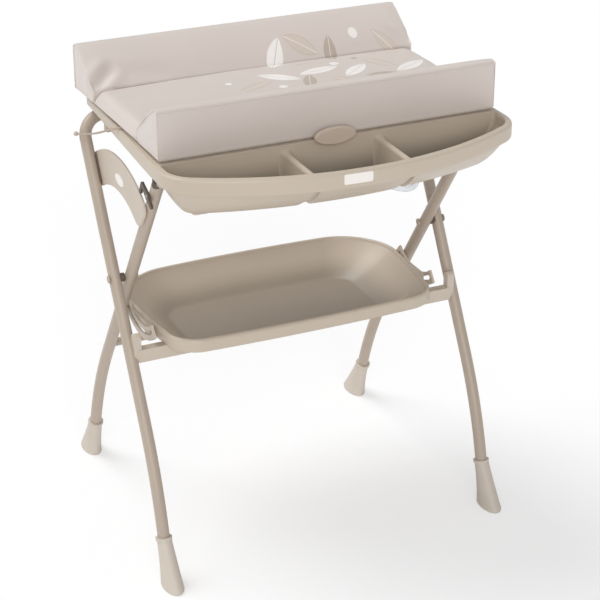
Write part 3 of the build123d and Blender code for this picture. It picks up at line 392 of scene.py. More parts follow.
def coated_fabric(name, colours, grain, printed, seams=()):
    """Wipe-clean coated fabric: fine leather grain, stitched seams and, if printed, leaves."""
    finish = Finish(name, colours.mat, 0.5)
    cloudy = finish.noise(5, 3.0)
    base = finish.mix(cloudy, finish.tone(0.955), finish.tone(1.03))
    x, y = finish.axes()[:2]
    tones = {
        "pale": (*colours.print_pale, 1.0),
        "mid": (*colours.print_mid, 1.0),
        "deep": (*colours.print_deep, 1.0),
    }
    if printed:
        fade = finish.noise(30, 3.0)
        for centre_x, centre_y, reach, half, turn, tone in leaf_rows:
            cos, sin = math.cos(math.radians(turn)), math.sin(math.radians(turn))
            along = (x - centre_x) * cos + (y - centre_y) * sin
            aside = abs((y - centre_y) * cos - (x - centre_x) * sin)
            edge = (1.0 - along * along / reach**2) * half - aside
            leaf = edge.above(0.5 * MM, 0.9 * MM) * (fade * 0.5 + 0.55)
            rib = edge.above(1.5 * MM, 0.6 * MM) * (0.9 * MM - aside).above(0.0, 0.5 * MM) * 0.55
            shade = edge.above(0.0, 1.5 * MM) * (1.0 - edge.above(1.6 * MM, 1.4 * MM)) * 0.35
            base = finish.mix(leaf, base, tones[tone])
            base = finish.mix(shade, base, tones["deep"])
            base = finish.mix(rib, base, tones["deep" if tone == "pale" else "pale"])
        for centre_x, centre_y, radius, tone in dot_rows:
            across = (x - centre_x) * (x - centre_x) + (y - centre_y) * (y - centre_y)
            dot = (radius**2 - across).above(0.0, radius * MM)
            base = finish.mix(dot * 0.75, base, tones[tone])
    grains = finish.cells(520.0)
    height = grains * 0.7 + finish.noise(240, 3.0) * 0.3
    normal = finish.bump(finish.noise(26, 3.0), 1.2 * MM, 0.22)
    normal = finish.bump(height, 0.25 * MM, grain, normal)
    for seam_y in seams:
        beside = abs(y - seam_y)
        dash = finish.node("ShaderNodeMath", {"operation": "FRACT"}, {0: x / (4.5 * MM) + 400.0})
        stitch = (1.0 * MM - beside).above(0.0, 0.4 * MM) * (dash - 0.28).above(0.0, 0.08)
        base = finish.mix(stitch * 0.55, base, tones["deep"])
        groove = (2.4 * MM - beside).above(0.0, 1.6 * MM)
        normal = finish.bump(stitch * 0.5 - groove, 0.6 * MM, 0.8, normal)
    finish.feed("Base Color", base)
    finish.feed("Roughness", grains * 0.2 + 0.4)
    finish.feed("Normal", normal)
    finish.feed("Sheen Weight", 0.12)
    return finish


# Shapes
def place(x, y, z):
    """A place in the object's frame from a place measured from the pivot."""
    return Vector((x, y + PIVOT_Y, z))


def spread(start, end, count):
    """Evenly spread values with both ends."""
    return [start + (end - start) * i / (count - 1) for i in range(count)]


def between(first, second, portion):
    """A value part of the way from one to another."""
    return first + (second - first) * portion


def arc(x, y, radius, start, end, count):
    """Places along an arc with both ends; angles in radians."""
    return [(x + radius * math.cos(a), y + radius * math.sin(a)) for a in spread(start, end, count)]


def loft(rings, round_the_loop=True, caps=(True, True)):
    """Faces that join rings of equally many points."""
    count = len(rings[0])
    points = [p for ring in rings for p in ring]
    faces = []
    last = count if round_the_loop else count - 1
    for level in range(len(rings) - 1):
        for i in range(last):
            j = (i + 1) % count
            low = level * count
            high = low + count
            faces.append((low + i, low + j, high + j, high + i))
    if caps[0]:
        faces.append(tuple(reversed(range(count))))
    if caps[1]:
        faces.append(tuple(range(len(points) - count, len(points))))
    return points, faces


def shell(name, points, faces, smooth):
    """An object from points and faces, with its normals facing out."""
    mesh = bpy.data.meshes.new(name)
    mesh.from_pydata([tuple(p) for p in points], [], faces)
    work = bmesh.new()
    work.from_mesh(mesh)
    bmesh.ops.recalc_face_normals(work, faces=work.faces)
    for face in work.faces:
        face.smooth = smooth
    work.to_mesh(mesh)
    work.free()
    return bpy.data.objects.new(name, mesh)


def piece(name, points, faces, finish, body, sharp=40.0, weighted=True):
    """A new piece of the object from points and faces."""
    return settle(shell(name, points, faces, True), finish, body, sharp, weighted)


def settle(made, finish, body, sharp=40.0, weighted=True):
    """Link a piece, give it its finish and let it ride on its body."""
    bpy.context.scene.collection.objects.link(made)
    made.data.materials.clear()
    made.data.materials.append(finish.material)
    if made.type == "MESH":
        made.data.set_sharp_from_angle(angle=math.radians(sharp))
        if weighted:
            made.modifiers.new("Weighted", "WEIGHTED_NORMAL").keep_sharp = True
    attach(made, body)
    return made


def evaluated(source):
    """A new mesh of an object as its modifiers leave it."""
    bpy.context.view_layer.update()
    shown = source.evaluated_get(bpy.context.evaluated_depsgraph_get())
    return bpy.data.meshes.new_from_object(shown)


def as_mesh(name, source):
    """A helper object as a plain mesh object; the helper is removed."""
    mesh = evaluated(source)
    mesh.name = name
    mesh.transform(source.matrix_world)
    bpy.data.objects.remove(source)
    for polygon in mesh.polygons:
        polygon.use_smooth = True
    return bpy.data.objects.new(name, mesh)


def plate(name, outlines, thickness, edge, matrix):
    """A flat plate with rounded edges: the first outline is its rim, the others are holes."""
    curve = bpy.data.curves.new(name, "CURVE")
    curve.dimensions = "2D"
    curve.fill_mode = "BOTH"
    curve.extrude = thickness / 2 - edge
    curve.bevel_depth = edge
    curve.bevel_resolution = 3
    curve.offset = -edge
    for outline in outlines:
        spline = curve.splines.new("POLY")
        spline.points.add(len(outline) - 1)
        for point, (u, v) in zip(spline.points, outline):
            point.co = (u, v, 0, 1)
        spline.use_cyclic_u = True
    helper = bpy.data.objects.new(name, curve)
    bpy.context.scene.collection.objects.link(helper)
    helper.matrix_world = matrix
    return as_mesh(name, helper)


def turned(profile, centre, count=48):
    """A body turned round an upright axis: profile rows are radius and height."""
    rings = []
    for radius, height in profile:
        ring = arc(centre.x, centre.y, radius, 0, 2 * HALF_TURN * (count - 1) / count, count)
        rings.append([(x, y, height) for x, y in ring])
    return loft(rings)


side_plane = Matrix(((0, 0, 1, 0), (1, 0, 0, PIVOT_Y), (0, 1, 0, 0), (0, 0, 0, 1)))


def side_matrix(x):
    """Takes a drawing in the side view, as Y and Z, to a place along X."""
    return Matrix.Translation((x, 0, 0)) @ side_plane


def dress(names, finish, edge=0.0):
    """Give CAD nodes a finish and, where asked, softened edges."""
    for name in names:
        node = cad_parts[name]
        for slot in node.material_slots:
            slot.material = finish.material
        if edge:
            weld = node.modifiers.new("Weld", "WELD")
            weld.merge_threshold = 0.005 * MM
            bevel = node.modifiers.new("Bevel", "BEVEL")
            bevel.width = edge
            bevel.segments = 2
            bevel.angle_limit = math.radians(38)
            bevel.harden_normals = True


finishes = {}


def make_finishes(scene):
    """All finishes, made once, from the scene's colours."""
    tones = scene.table_colours
    mat = scene.mat_sizes
    slope_seams = (PIVOT_Y - mat.front + mat.bolster, PIVOT_Y + mat.back - mat.bolster)
    for key, name, base, roughness, texture in (
        ("tub", "tub plastic", tones.tub, 0.36, 0.5),
        ("tray", "tray plastic", tones.tub, 0.3, 0.5),
        ("feet", "boot plastic", tones.feet, 0.46, 0.9),
        ("plates", "plate plastic", tones.plates, 0.44, 0.8),
        ("board", "mat board", tones.mat_board, 0.55, 1.0),
        ("catch", "catch plastic", tones.catch, 0.42, 0.8),
        ("badge", "badge plastic", tones.badge, 0.3, 0.2),
        ("dark", "dark plastic", tones.dark, 0.55, 1.0),
        ("fitting", "fitting plastic", tones.fitting, 0.4, 0.5),
    ):
        finishes[key] = moulded(name, base, roughness, texture)
    tray = scene.tray_sizes
    # The tray's bowl: painted shade darkens its colour from under the band down to its floor.
    finishes["bowl"] = hollow_plastic_with_painted_shade(
        "tray bowl plastic with painted shade", tones.tub, tray.height - tray.band, tray.height - tray.depth, 0.58
    )
    tub = scene.tub_sizes
    # The pockets: painted shade darkens their colour from the step down to their floor.
    finishes["pocket"] = hollow_plastic_with_painted_shade(
        "pocket plastic with painted shade", tones.tub, tub.height - bay_step, tub.height - tub.bay_depth, 0.28
    )
    finishes["frame"] = powder_coat("frame powder coat", tones.frame_paint)
    finishes["steel"] = metal("zinc plated steel", tones.steel)
    finishes["hose"] = clear_vinyl("clear vinyl", tones.hose)
    finishes["elastic"] = woven("woven elastic", tones.elastic)
    finishes["mat"] = coated_fabric("coated fabric", tones, mat.grain, False)
    finishes["printed"] = coated_fabric("printed coated fabric", tones, mat.grain, True, slope_seams)


# Stage
camera_place = (-1.4427, -3.1749, 2.1405)
camera_yaw = -24.8705
camera_pitch = 25.6676
camera_roll = 0.1176
camera_focal_pixels = 1828.09
photo_pixels = 600.0
sensor_width = 36.0
key_turn = (math.radians(-24), math.radians(-24), 0.0)
front_turn = (math.radians(68), 0.0, math.radians(-22))
light_softness = math.radians(38)


class STUDIO_OT_build(Operator):
    """Build the finishes, the camera, the lights and the floor"""

    bl_idname = "table.studio"
    bl_label = "Studio"

    def execute(self, context):
        scene = context.scene
        studio = scene.studio_sizes
        scene.view_settings.view_transform = "Standard"
        make_finishes(scene)

        camera = bpy.data.cameras.new("Camera")
        camera.sensor_width = sensor_width
        camera.lens = camera_focal_pixels / photo_pixels * sensor_width
        view = bpy.data.objects.new("Camera", camera)
        scene.collection.objects.link(view)
        turn = Euler((QUARTER_TURN - math.radians(camera_pitch), 0, math.radians(camera_yaw))).to_matrix()
        roll = Matrix.Rotation(math.radians(camera_roll), 3, "Z")
        view.matrix_world = Matrix.Translation(camera_place) @ (turn @ roll).to_4x4()
        scene.camera = view

        for name, energy, turn in (("Key", studio.key, key_turn), ("Front", studio.front, front_turn)):
            sun = bpy.data.lights.new(name, "SUN")
            sun.energy = energy
            sun.angle = light_softness
            lamp = bpy.data.objects.new(name, sun)
            lamp.rotation_euler = turn
            scene.collection.objects.link(lamp)

        world = bpy.data.worlds.new("Studio")
        scene.world = world
        world.use_nodes = True
        tree = world.node_tree
        rays = tree.nodes.new("ShaderNodeLightPath")
        seen = tree.nodes.new("ShaderNodeMath")
        seen.operation = "MAXIMUM"
        tree.links.new(rays.outputs["Is Camera Ray"], seen.inputs[0])
        tree.links.new(rays.outputs["Is Transmission Ray"], seen.inputs[1])
        strength = tree.nodes.new("ShaderNodeMapRange")
        strength.inputs["To Min"].default_value = studio.room
        strength.inputs["To Max"].default_value = 1.0
        tree.links.new(seen.outputs[0], strength.inputs["Value"])
        tree.links.new(strength.outputs[0], tree.nodes["Background"].inputs["Strength"])
        tree.nodes["Background"].inputs["Color"].default_value = (1, 1, 1, 1)

        half = studio.floor_half
        mesh = bpy.data.meshes.new("Floor")
        corners = [(-half, -half, 0), (half, -half, 0), (half, half, 0), (-half, half, 0)]
        mesh.from_pydata(corners, [], [(0, 1, 2, 3)])
        floor = bpy.data.objects.new("Floor", mesh)
        scene.collection.objects.link(floor)
        finish = Finish("studio floor", scene.table_colours.floor, 0.9)
        finish.feed("Specular IOR Level", 0.0)
        glow = finish.node("ShaderNodeEmission")
        path = finish.node("ShaderNodeLightPath", out="Is Camera Ray")
        both = finish.node("ShaderNodeMixShader", None, {0: path * studio.floor_glow})
        mixer = both.socket.node
        finish.tree.links.new(finish.shader.outputs["BSDF"], mixer.inputs[1])
        finish.tree.links.new(glow.socket, mixer.inputs[2])
        finish.tree.links.new(both.socket, finish.output.inputs["Surface"])
        mesh.materials.append(finish.material)
        return {"FINISHED"}


# Cords: the routes of the part, in metres from the pivot
hose_route = (
    (0.132, -0.050, 0.722), (0.168, -0.050, 0.722), (0.206, -0.056, 0.706), (0.244, -0.060, 0.688),
    (0.279, -0.051, 0.680), (0.304, -0.027, 0.682), (0.313, 0.007, 0.695), (0.312, 0.036, 0.722),
    (0.307, 0.052, 0.758), (0.302, 0.056, 0.800), (0.302, 0.056, 0.836),
)
hose_diameter = 12 * MM
elastic_route = (
    (-0.353, -0.031, 0.9078), (-0.369, -0.031, 0.9078), (-0.3875, 0.060, 0.866), (-0.389, 0.152, 0.838),
)
elastic_diameter = 4 * MM


def cord_curve(name, route, diameter, finish):
    """A cord as one smooth spline through its route's control points."""
    curve = bpy.data.curves.new(name, "CURVE")
    curve.dimensions = "3D"
    curve.bevel_depth = diameter / 2
    curve.bevel_resolution = 6
    curve.resolution_u = 16
    curve.use_fill_caps = True
    spline = curve.splines.new("NURBS")
    spline.points.add(len(route) - 1)
    for point, (x, y, z) in zip(spline.points, route):
        point.co = (*place(x, y, z), 1)
    spline.use_endpoint_u = True
    spline.order_u = 3
    return settle(bpy.data.objects.new(name, curve), finish, "tub")


class CORDS_OT_build(Operator):
    """Build the drain hose and the two elastic cords"""

    bl_idname = "table.cords"
    bl_label = "Hose and elastic cords"

    def execute(self, context):
        hose = cord_curve("hose", hose_route, hose_diameter, finishes["hose"])
        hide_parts("drain_hose")
        place(*hose_route[0])
        for side, name in ((1, "left_elastic"), (-1, "right_elastic")):
            route = [(side * x, y, z) for x, y, z in elastic_route]
            cord = cord_curve(name + "_cord", route, elastic_diameter, finishes["elastic"])
            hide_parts(name)
            place(*route[0])
        return {"FINISHED"}


# Tub
corner_count = 14
front_count = 44
side_count = 10
bay_step = 23 * MM
bay_hull_inset = 6 * MM
bay_wall = 3 * MM
bay_floor_wall = 4 * MM
bay_floor_half = 310 * MM
bay_floor_reach = 313 * MM
bay_floor_bow = 980.4 * MM
bay_floor_corner = 22 * MM
bay_cove = 30 * MM
bay_back_corner = 9 * MM
bay_levels = 22
hull_curve = 0.3
divider_x = 100 * MM
divider_crest = 7 * MM
divider_drop = 15 * MM
divider_seat = 1.5 * MM
divider_flare = 7 * MM
divider_widening = 0.9
divider_lift = 5 * MM
divider_sag = 2 * MM
divider_columns = 26
# The divider's flank: half of its width in millimetres, and how far up to the crest
divider_rows = ((26, 0.0), (21, 0.012), (18, 0.04), (15.5, 0.12), (13, 0.3), (10.6, 0.55), (8.6, 0.8))
notch_half = 15 * MM
notch_tip = 3 * MM
notch_height = 58 * MM
nub_place = (281 * MM, -252 * MM)
nub_half = (19 * MM, 10 * MM)
nub_roundness = 0.98
# The low foot's section: how far in from its side, and how far below the pockets' floor
nub_rows = ((0.0, -4.0), (0.0, 4.5), (0.8, 6.6), (2.4, 7.8), (4.5, 8.0))
deck_lap = 1 * MM
deck_front_lap = 0.5 * MM
deck_drop = 0.5 * MM
deck_thickness = 4 * MM
deck_edge = 0.4 * MM
bay_top_drop = 1.5 * MM
label_columns = 40
label_corner = 3 * MM
# The label's section: how far it stands out of the band, and its height as a share of its half height
label_rows = ((-0.6, -1.0), (0.25, -1.0), (0.5, -0.96), (0.5, 0.96), (0.25, 1.0), (-0.6, 1.0))

# The rim's section: how far in from the outline, and how far down
rim_top_rows = (
    (14.0, 9.0), (13.4, 4.0), (13.2, 1.8), (12.4, 0.5), (11.0, 0.0), (9.4, 0.3), (8.0, 1.0), (6.8, 1.15),
    (5.6, 0.95), (4.0, 1.15), (2.4, 2.1), (1.1, 3.6), (0.35, 5.4), (0.0, 8.0),
)
rim_low_rows = ((0.0, 4.0), (0.25, 1.6), (0.9, 0.5), (1.7, 0.0), (2.5, 0.4), (2.9, 1.6))


def front_outline(reach, half, bow, corner):
    """The bowed front with its rounded corners, from the left side to the right."""
    hub = bow - reach
    corner_x = half - corner
    corner_y = hub - math.sqrt((bow - corner) ** 2 - corner_x**2)
    turn = math.atan2(corner_y - hub, corner_x)
    right = arc(corner_x, corner_y, corner, turn, 0, corner_count)
    front = arc(0, hub, bow, -HALF_TURN - turn, turn, front_count)
    left = [(-x, y) for x, y in reversed(right)]
    return left + front[1:-1] + right


def tub_ring(reach, half, bow, corner, back, half_back, back_corner, side_end):
    """A closed outline: bowed front, sides that may taper, and a straight back."""
    front = front_outline(reach, half, bow, corner)
    start_y = front[-1][1]
    side = []
    for y in spread(start_y, back - back_corner, side_count):
        taper = max(0.0, (y + side_end) / (back + side_end)) if half_back != half else 0.0
        side.append((between(half, half_back, taper), y))
    right_back = arc(half_back - back_corner, back - back_corner, back_corner, 0, QUARTER_TURN, side_count)
    right = side[1:] + right_back[1:]
    back_x = right[-1][0]
    middle = [(x, back) for x in spread(back_x, -back_x, front_count)][1:-1]
    left = [(-x, y) for x, y in reversed(right)]
    return front + right + middle + left


def rim_ring(tub, inset):
    """The rim's outline drawn in by an inset."""
    return tub_ring(
        tub.reach - inset, tub.half_front - inset, tub.bow - inset, tub.corner - inset,
        tub.back - inset, tub.half_back - inset, tub.back_corner - inset, tub.side_end,
    )


def quarter_share(step):
    """How far a quarter circle has gone in at a share of its depth."""
    return 1 - math.sqrt(max(0.0, 1 - step * step))


def curved_share(step, curve=hull_curve):
    """How far a wall has gone in at a share of its depth: a slope that rounds into the floor."""
    return (1 - curve) * step + curve * quarter_share(step)


def bay_values(tub, mouth_inset, floor_inset, step):
    """Outline values of the pocket bay at a share of its depth."""
    portion = curved_share(step)
    return (
        between(tub.reach - mouth_inset, bay_floor_reach - floor_inset, portion),
        between(tub.half_front - mouth_inset, bay_floor_half - floor_inset, portion),
        between(tub.bow - mouth_inset, bay_floor_bow - floor_inset, portion),
        between(tub.corner - mouth_inset, bay_floor_corner - 2 * floor_inset, portion),
    )


def bay_ring(tub, mouth_inset, floor_inset, step, back, cove, z):
    """One ring of the pocket bay; the cove draws the back wall's foot forward."""
    values = bay_values(tub, mouth_inset, floor_inset, step)
    half = values[1]
    ring = tub_ring(*values, back, half, bay_back_corner, tub.side_end)
    pull = cove * quarter_share(step)
    drawn = []
    for x, y in ring:
        if y > back - bay_back_corner / 2:
            y -= pull * (1 - (x / half) ** 2)
        drawn.append(place(x, y, z))
    return drawn


def box_ring(half, front, back, corner, z, count=10):
    """A rounded rectangle's outline at a height."""
    ring = []
    for x, y, start in (
        (half - corner, back - corner, 0),
        (corner - half, back - corner, QUARTER_TURN),
        (corner - half, front + corner, HALF_TURN),
        (half - corner, front + corner, HALF_TURN + QUARTER_TURN),
    ):
        ring += arc(x, y, corner, start, start + QUARTER_TURN, count)
    return [place(x, y, z) for x, y in ring]


basin_half = 315 * MM
basin_front = -211 * MM
basin_back = 150 * MM
basin_corner = 80 * MM
basin_floor_half = 245 * MM
basin_floor_front = -116 * MM
basin_floor_back = 94 * MM
basin_floor_corner = 60 * MM
basin_wall = 3 * MM
basin_hull_top = 5 * MM
basin_levels = 26
basin_first_share = 0.05
# The basin's flare: how far out from its wall, and how far down
basin_flare_rows = ((-7.0, 0.4), (-5.0, 0.9), (-2.6, 2.4), (-0.9, 4.6), (0.0, 8.0))


def basin_ring(tub, inset, depth_share, z):
    """One ring of the basin, from its mouth to its floor."""
    portion = curved_share(depth_share)
    return box_ring(
        between(basin_half, basin_floor_half, portion) - inset,
        between(basin_front, basin_floor_front, portion) + inset,
        between(basin_back, basin_floor_back, portion) - inset,
        between(basin_corner, basin_floor_corner, portion) - inset,
        z,
    )


class TUB_OT_build(Operator):
    """Build the tub: rim and apron, deck, basin, pockets with their dividers, and the label"""

    bl_idname = "table.tub"
    bl_label = "Tub"

    def execute(self, context):
        tub = context.scene.tub_sizes
        finish = finishes["tub"]
        rim = self.rim(tub, finish)
        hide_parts("tub_shell")
        self.deck(tub, finish)
        self.basin(tub, finish)
        self.bay(tub, finish)
        for side in (-1, 1):
            self.divider(tub, finish, side)
            self.nub(tub, finish, side)
        self.label(tub)
        return {"FINISHED"}

    def rim(self, tub, finish):
        """Bead, band and apron, all round the tub."""
        def drop(y):
            return between(tub.front_drop, tub.back_drop, (y + tub.reach) / (tub.back + tub.reach))

        rings = []
        for inset, down in rim_top_rows:
            rings.append([place(x, y, tub.height - down * MM) for x, y in rim_ring(tub, inset * MM)])
        for inset, up in rim_low_rows:
            ring = rim_ring(tub, inset * MM)
            rings.append([place(x, y, tub.height - drop(y) + up * MM) for x, y in ring])
        inside_z = tub.height - rim_top_rows[0][1] * MM
        rings.append([place(x, y, inside_z) for x, y in rim_ring(tub, bay_wall)])
        rings.append(rings[0])
        points, faces = loft(rings, caps=(False, False))
        return piece("tub_rim", points, faces, finish, "tub", 50)

    def deck(self, tub, finish):
        """The flat top behind the pockets, with the basin's mouth in it."""
        front = -tub.bay_back - deck_front_lap
        half = tub.half_front - tub.lip + deck_lap
        behind = [p for p in rim_ring(tub, tub.lip - deck_lap) if p[1] > front]
        inner = [(half, front), *behind, (-half, front)]
        flare = basin_flare_rows[0][0] * MM
        mouth = [(p.x, p.y - PIVOT_Y) for p in basin_ring(tub, flare, 0, 0)]
        middle = Matrix.Translation((0, PIVOT_Y, tub.height - deck_drop - deck_thickness / 2))
        made = plate("tub_deck", (inner, mouth), deck_thickness, deck_edge, middle)
        return settle(made, finish, "tub")

    def basin(self, tub, finish):
        """The bath itself, a bowl with a flared mouth."""
        floor = tub.height - tub.basin_depth
        wall_top = tub.height - basin_flare_rows[-1][1] * MM
        rings = []
        for step in reversed(spread(basin_first_share, 1, basin_levels)):
            z = between(wall_top, floor + basin_wall, step)
            rings.append(basin_ring(tub, basin_wall, step, z))
        for inset, down in reversed(basin_flare_rows):
            rings.append(basin_ring(tub, basin_wall + inset * MM, 0, tub.height - down * MM))
        for step in spread(0, 1, basin_levels):
            rings.append(basin_ring(tub, 0, step, between(tub.height - basin_hull_top, floor, step)))
        points, faces = loft(rings)
        return piece("tub_basin", points, faces, finish, "tub")

    def bay(self, tub, finish):
        """The pocket bay's walls and floor, notched under the dividers."""
        floor = tub.height - tub.bay_depth
        step_z = tub.height - bay_step
        rings = []
        for step in reversed(spread(0, 1, bay_levels)):
            z = between(step_z, floor + bay_floor_wall, step)
            rings.append(bay_ring(tub, tub.lip, bay_floor_wall, step, -tub.bay_back, bay_cove, z))
        top = tub.height - bay_top_drop
        rings.append(bay_ring(tub, tub.lip, bay_floor_wall, 0, -tub.bay_back, 0, top))
        rings.append(bay_ring(tub, bay_hull_inset, 0, 0, bay_wall - tub.bay_back, 0, top))
        for step in spread(0, 1, bay_levels):
            z = between(step_z, floor, step)
            rings.append(bay_ring(tub, bay_hull_inset, 0, step, bay_wall - tub.bay_back, 0, z))
        points, faces = loft(rings)
        made = piece("tub_pockets", points, faces, finish, "tub", 50, False)
        # The inner faces of the pockets get the plastic with painted shade towards their floor.
        made.data.materials.append(finishes["pocket"].material)
        inner = (bay_levels + 1) * len(rings[0])
        for polygon in made.data.polygons:
            if max(polygon.vertices) < inner:
                polygon.material_index = 1
        for side in (-1, 1):
            self.notch(tub, made, side, floor)
        hollow = evaluated(made)
        for modifier in made.modifiers:
            bpy.data.objects.remove(modifier.object)
        made.modifiers.clear()
        made.data = hollow
        for polygon in made.data.polygons:
            polygon.use_smooth = True
        made.data.set_sharp_from_angle(angle=math.radians(50))
        made.modifiers.new("Weighted", "WEIGHTED_NORMAL").keep_sharp = True
        return made

    def notch(self, tub, made, side, floor):
        """Cut the tapering notch under a divider."""
        low = floor - bay_wall
        high = floor + notch_height
        front = -tub.reach + 2 * bay_hull_inset
        back = 2 * bay_wall - tub.bay_back
        x = side * divider_x
        rings = []
        for y in (front, back):
            rings.append([
                place(x - notch_half, y, low), place(x + notch_half, y, low),
                place(x + notch_tip, y, high), place(x - notch_tip, y, high),
            ])
        cutter = shell("notch", *loft(rings), False)
        bpy.context.scene.collection.objects.link(cutter)
        cut = made.modifiers.new("Notch", "BOOLEAN")
        cut.operation = "DIFFERENCE"
        cut.solver = "MANIFOLD"
        cut.object = cutter

    def divider(self, tub, finish, side):
        """A rounded ridge from the pockets' back wall to their front wall."""
        floor = tub.height - tub.bay_depth + bay_floor_wall
        step_z = tub.height - bay_step
        crest = tub.height - divider_drop - divider_crest
        x_middle = side * divider_x
        section = [(-half * MM, between(floor, crest, up)) for half, up in divider_rows]
        for angle in spread(HALF_TURN, 0, 13):
            section.append((divider_crest * math.cos(angle), crest + divider_crest * math.sin(angle)))
        section += [(half * MM, between(floor, crest, up)) for half, up in reversed(divider_rows)]
        rings = []
        for portion in spread(0, 1, divider_columns):
            ring = []
            for across, z in section:
                step = min(1.0, max(0.0, (step_z - z) / (step_z - floor)))
                reach, half, bow, corner = bay_values(tub, tub.lip, bay_floor_wall, step)
                pull = bay_cove * quarter_share(step)
                start = -tub.bay_back - pull * (1 - (divider_x / half) ** 2) + divider_seat
                end = bow - reach - math.sqrt(bow**2 - (x_middle + across) ** 2) - divider_seat
                y = between(start, end, portion)
                flare = math.exp((y - start) / divider_flare)
                rise = (z - floor) / (crest - floor)
                widen = 1 + divider_widening * flare * rise
                lift = divider_lift * flare * rise * rise - divider_sag * portion * rise
                ring.append(place(x_middle + across * widen, y, z + lift))
            rings.append(ring)
        points, faces = loft(rings, False)
        name = "tub_divider_left" if side < 0 else "tub_divider_right"
        return piece(name, points, faces, finish, "tub", 60)

    def nub(self, tub, finish, side):
        """A low foot under the pocket bay."""
        floor = tub.height - tub.bay_depth
        rings = []
        for inset, down in nub_rows:
            half_x = nub_half[0] - inset * MM
            half_y = nub_half[1] - inset * MM
            ring = box_ring(half_x, -half_y, half_y, half_y * nub_roundness, floor - down * MM)
            rings.append([p + Vector((side * nub_place[0], nub_place[1], 0)) for p in ring])
        points, faces = loft(rings)
        name = "tub_foot_left" if side < 0 else "tub_foot_right"
        return piece(name, points, faces, finish, "tub")

    def label(self, tub):
        """The bare label plate, bent to the band's bow."""
        low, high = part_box("label_plate")
        hub = tub.bow - tub.reach
        corner = label_corner
        half_x = (high.x - low.x) / 2
        half_z = (high.z - low.z) / 2
        middle_x = (high.x + low.x) / 2
        middle_z = (high.z + low.z) / 2
        rings = []
        for turn in spread(-QUARTER_TURN, QUARTER_TURN, label_columns):
            u = half_x * math.sin(turn)
            past = max(0.0, abs(u) - half_x + corner)
            tall = half_z - corner + math.sqrt(max(0.0, corner**2 - past**2))
            x = middle_x + u
            ring = []
            for proud, up in label_rows:
                radius = tub.bow + proud * MM
                ring.append(place(x, hub - math.sqrt(radius**2 - x**2), middle_z + up * tall))
            rings.append(ring)
        points, faces = loft(rings)
        made = piece("bare_label", points, faces, finishes["badge"], "tub", 60)
        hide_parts("label_plate")
        return made


# Tray
tray_front_bow = 9 * MM
tray_side_bow = 5 * MM
tray_back_bow = 14 * MM
tray_front_corner = 62 * MM
tray_back_corner = 120 * MM
tray_floor_half = 215 * MM
tray_floor_front = -50 * MM
tray_floor_back = 145 * MM
tray_floor_corner = 50 * MM
tray_wall = 3 * MM
tray_lip = 10 * MM
tray_count = 16
tray_levels = 26
tray_first_share = 0.02
tray_curve = 0.18
# The tray rim's section: how far in from the outline, and how far down
tray_rim_rows = (
    (10.6, 5.0), (10.0, 2.6), (8.8, 0.9), (7.2, 0.1), (5.6, 0.0), (3.6, 0.6), (1.9, 2.0), (0.7, 4.2),
    (0.1, 7.0), (0.0, 11.0), (0.3, 20.0), (0.7, 25.0), (1.2, 27.2), (2.2, 28.0), (3.2, 27.3),
    (3.6, 25.0), (3.6, 9.0),
)


def tray_ring(half_front, half_back, front, back, front_corner, back_corner, bow_share, z):
    """The tray's outline at a height: rounded corners and four bowed sides."""
    ring = []
    for x, y, corner, start in (
        (half_back, back, back_corner, 0),
        (-half_back, back, back_corner, QUARTER_TURN),
        (-half_front, front, front_corner, HALF_TURN),
        (half_front, front, front_corner, HALF_TURN + QUARTER_TURN),
    ):
        centre_x = x - math.copysign(corner, x)
        centre_y = y + (corner if y == front else -corner)
        ring += arc(centre_x, centre_y, corner, start, start + QUARTER_TURN, tray_count)
        if start in (0, HALF_TURN):
            ring += [(u, y) for u in spread(centre_x, -centre_x, tray_count)][1:-1]
        else:
            other = (front + front_corner) if start == QUARTER_TURN else (back - back_corner)
            next_x = -half_front if start == QUARTER_TURN else half_back
            ring += [
                (between(x, next_x, (v - centre_y) / (other - centre_y)), v)
                for v in spread(centre_y, other, tray_count)
            ][1:-1]
    middle = (front + back) / 2
    drawn = []
    for x, y in ring:
        half = between(half_front, half_back, (y - front) / (back - front))
        along_x = max(0.0, 1 - (x / half) ** 2)
        along_y = max(0.0, 1 - ((y - middle) / (back - middle)) ** 2)
        to_front = max(0.0, (middle - y) / (middle - front))
        to_back = max(0.0, (y - middle) / (back - middle))
        new_y = y + bow_share * along_x * (tray_back_bow * to_back - tray_front_bow * to_front)
        new_x = x * (1 + bow_share * along_y * tray_side_bow / half)
        drawn.append(place(new_x, new_y, z))
    return drawn


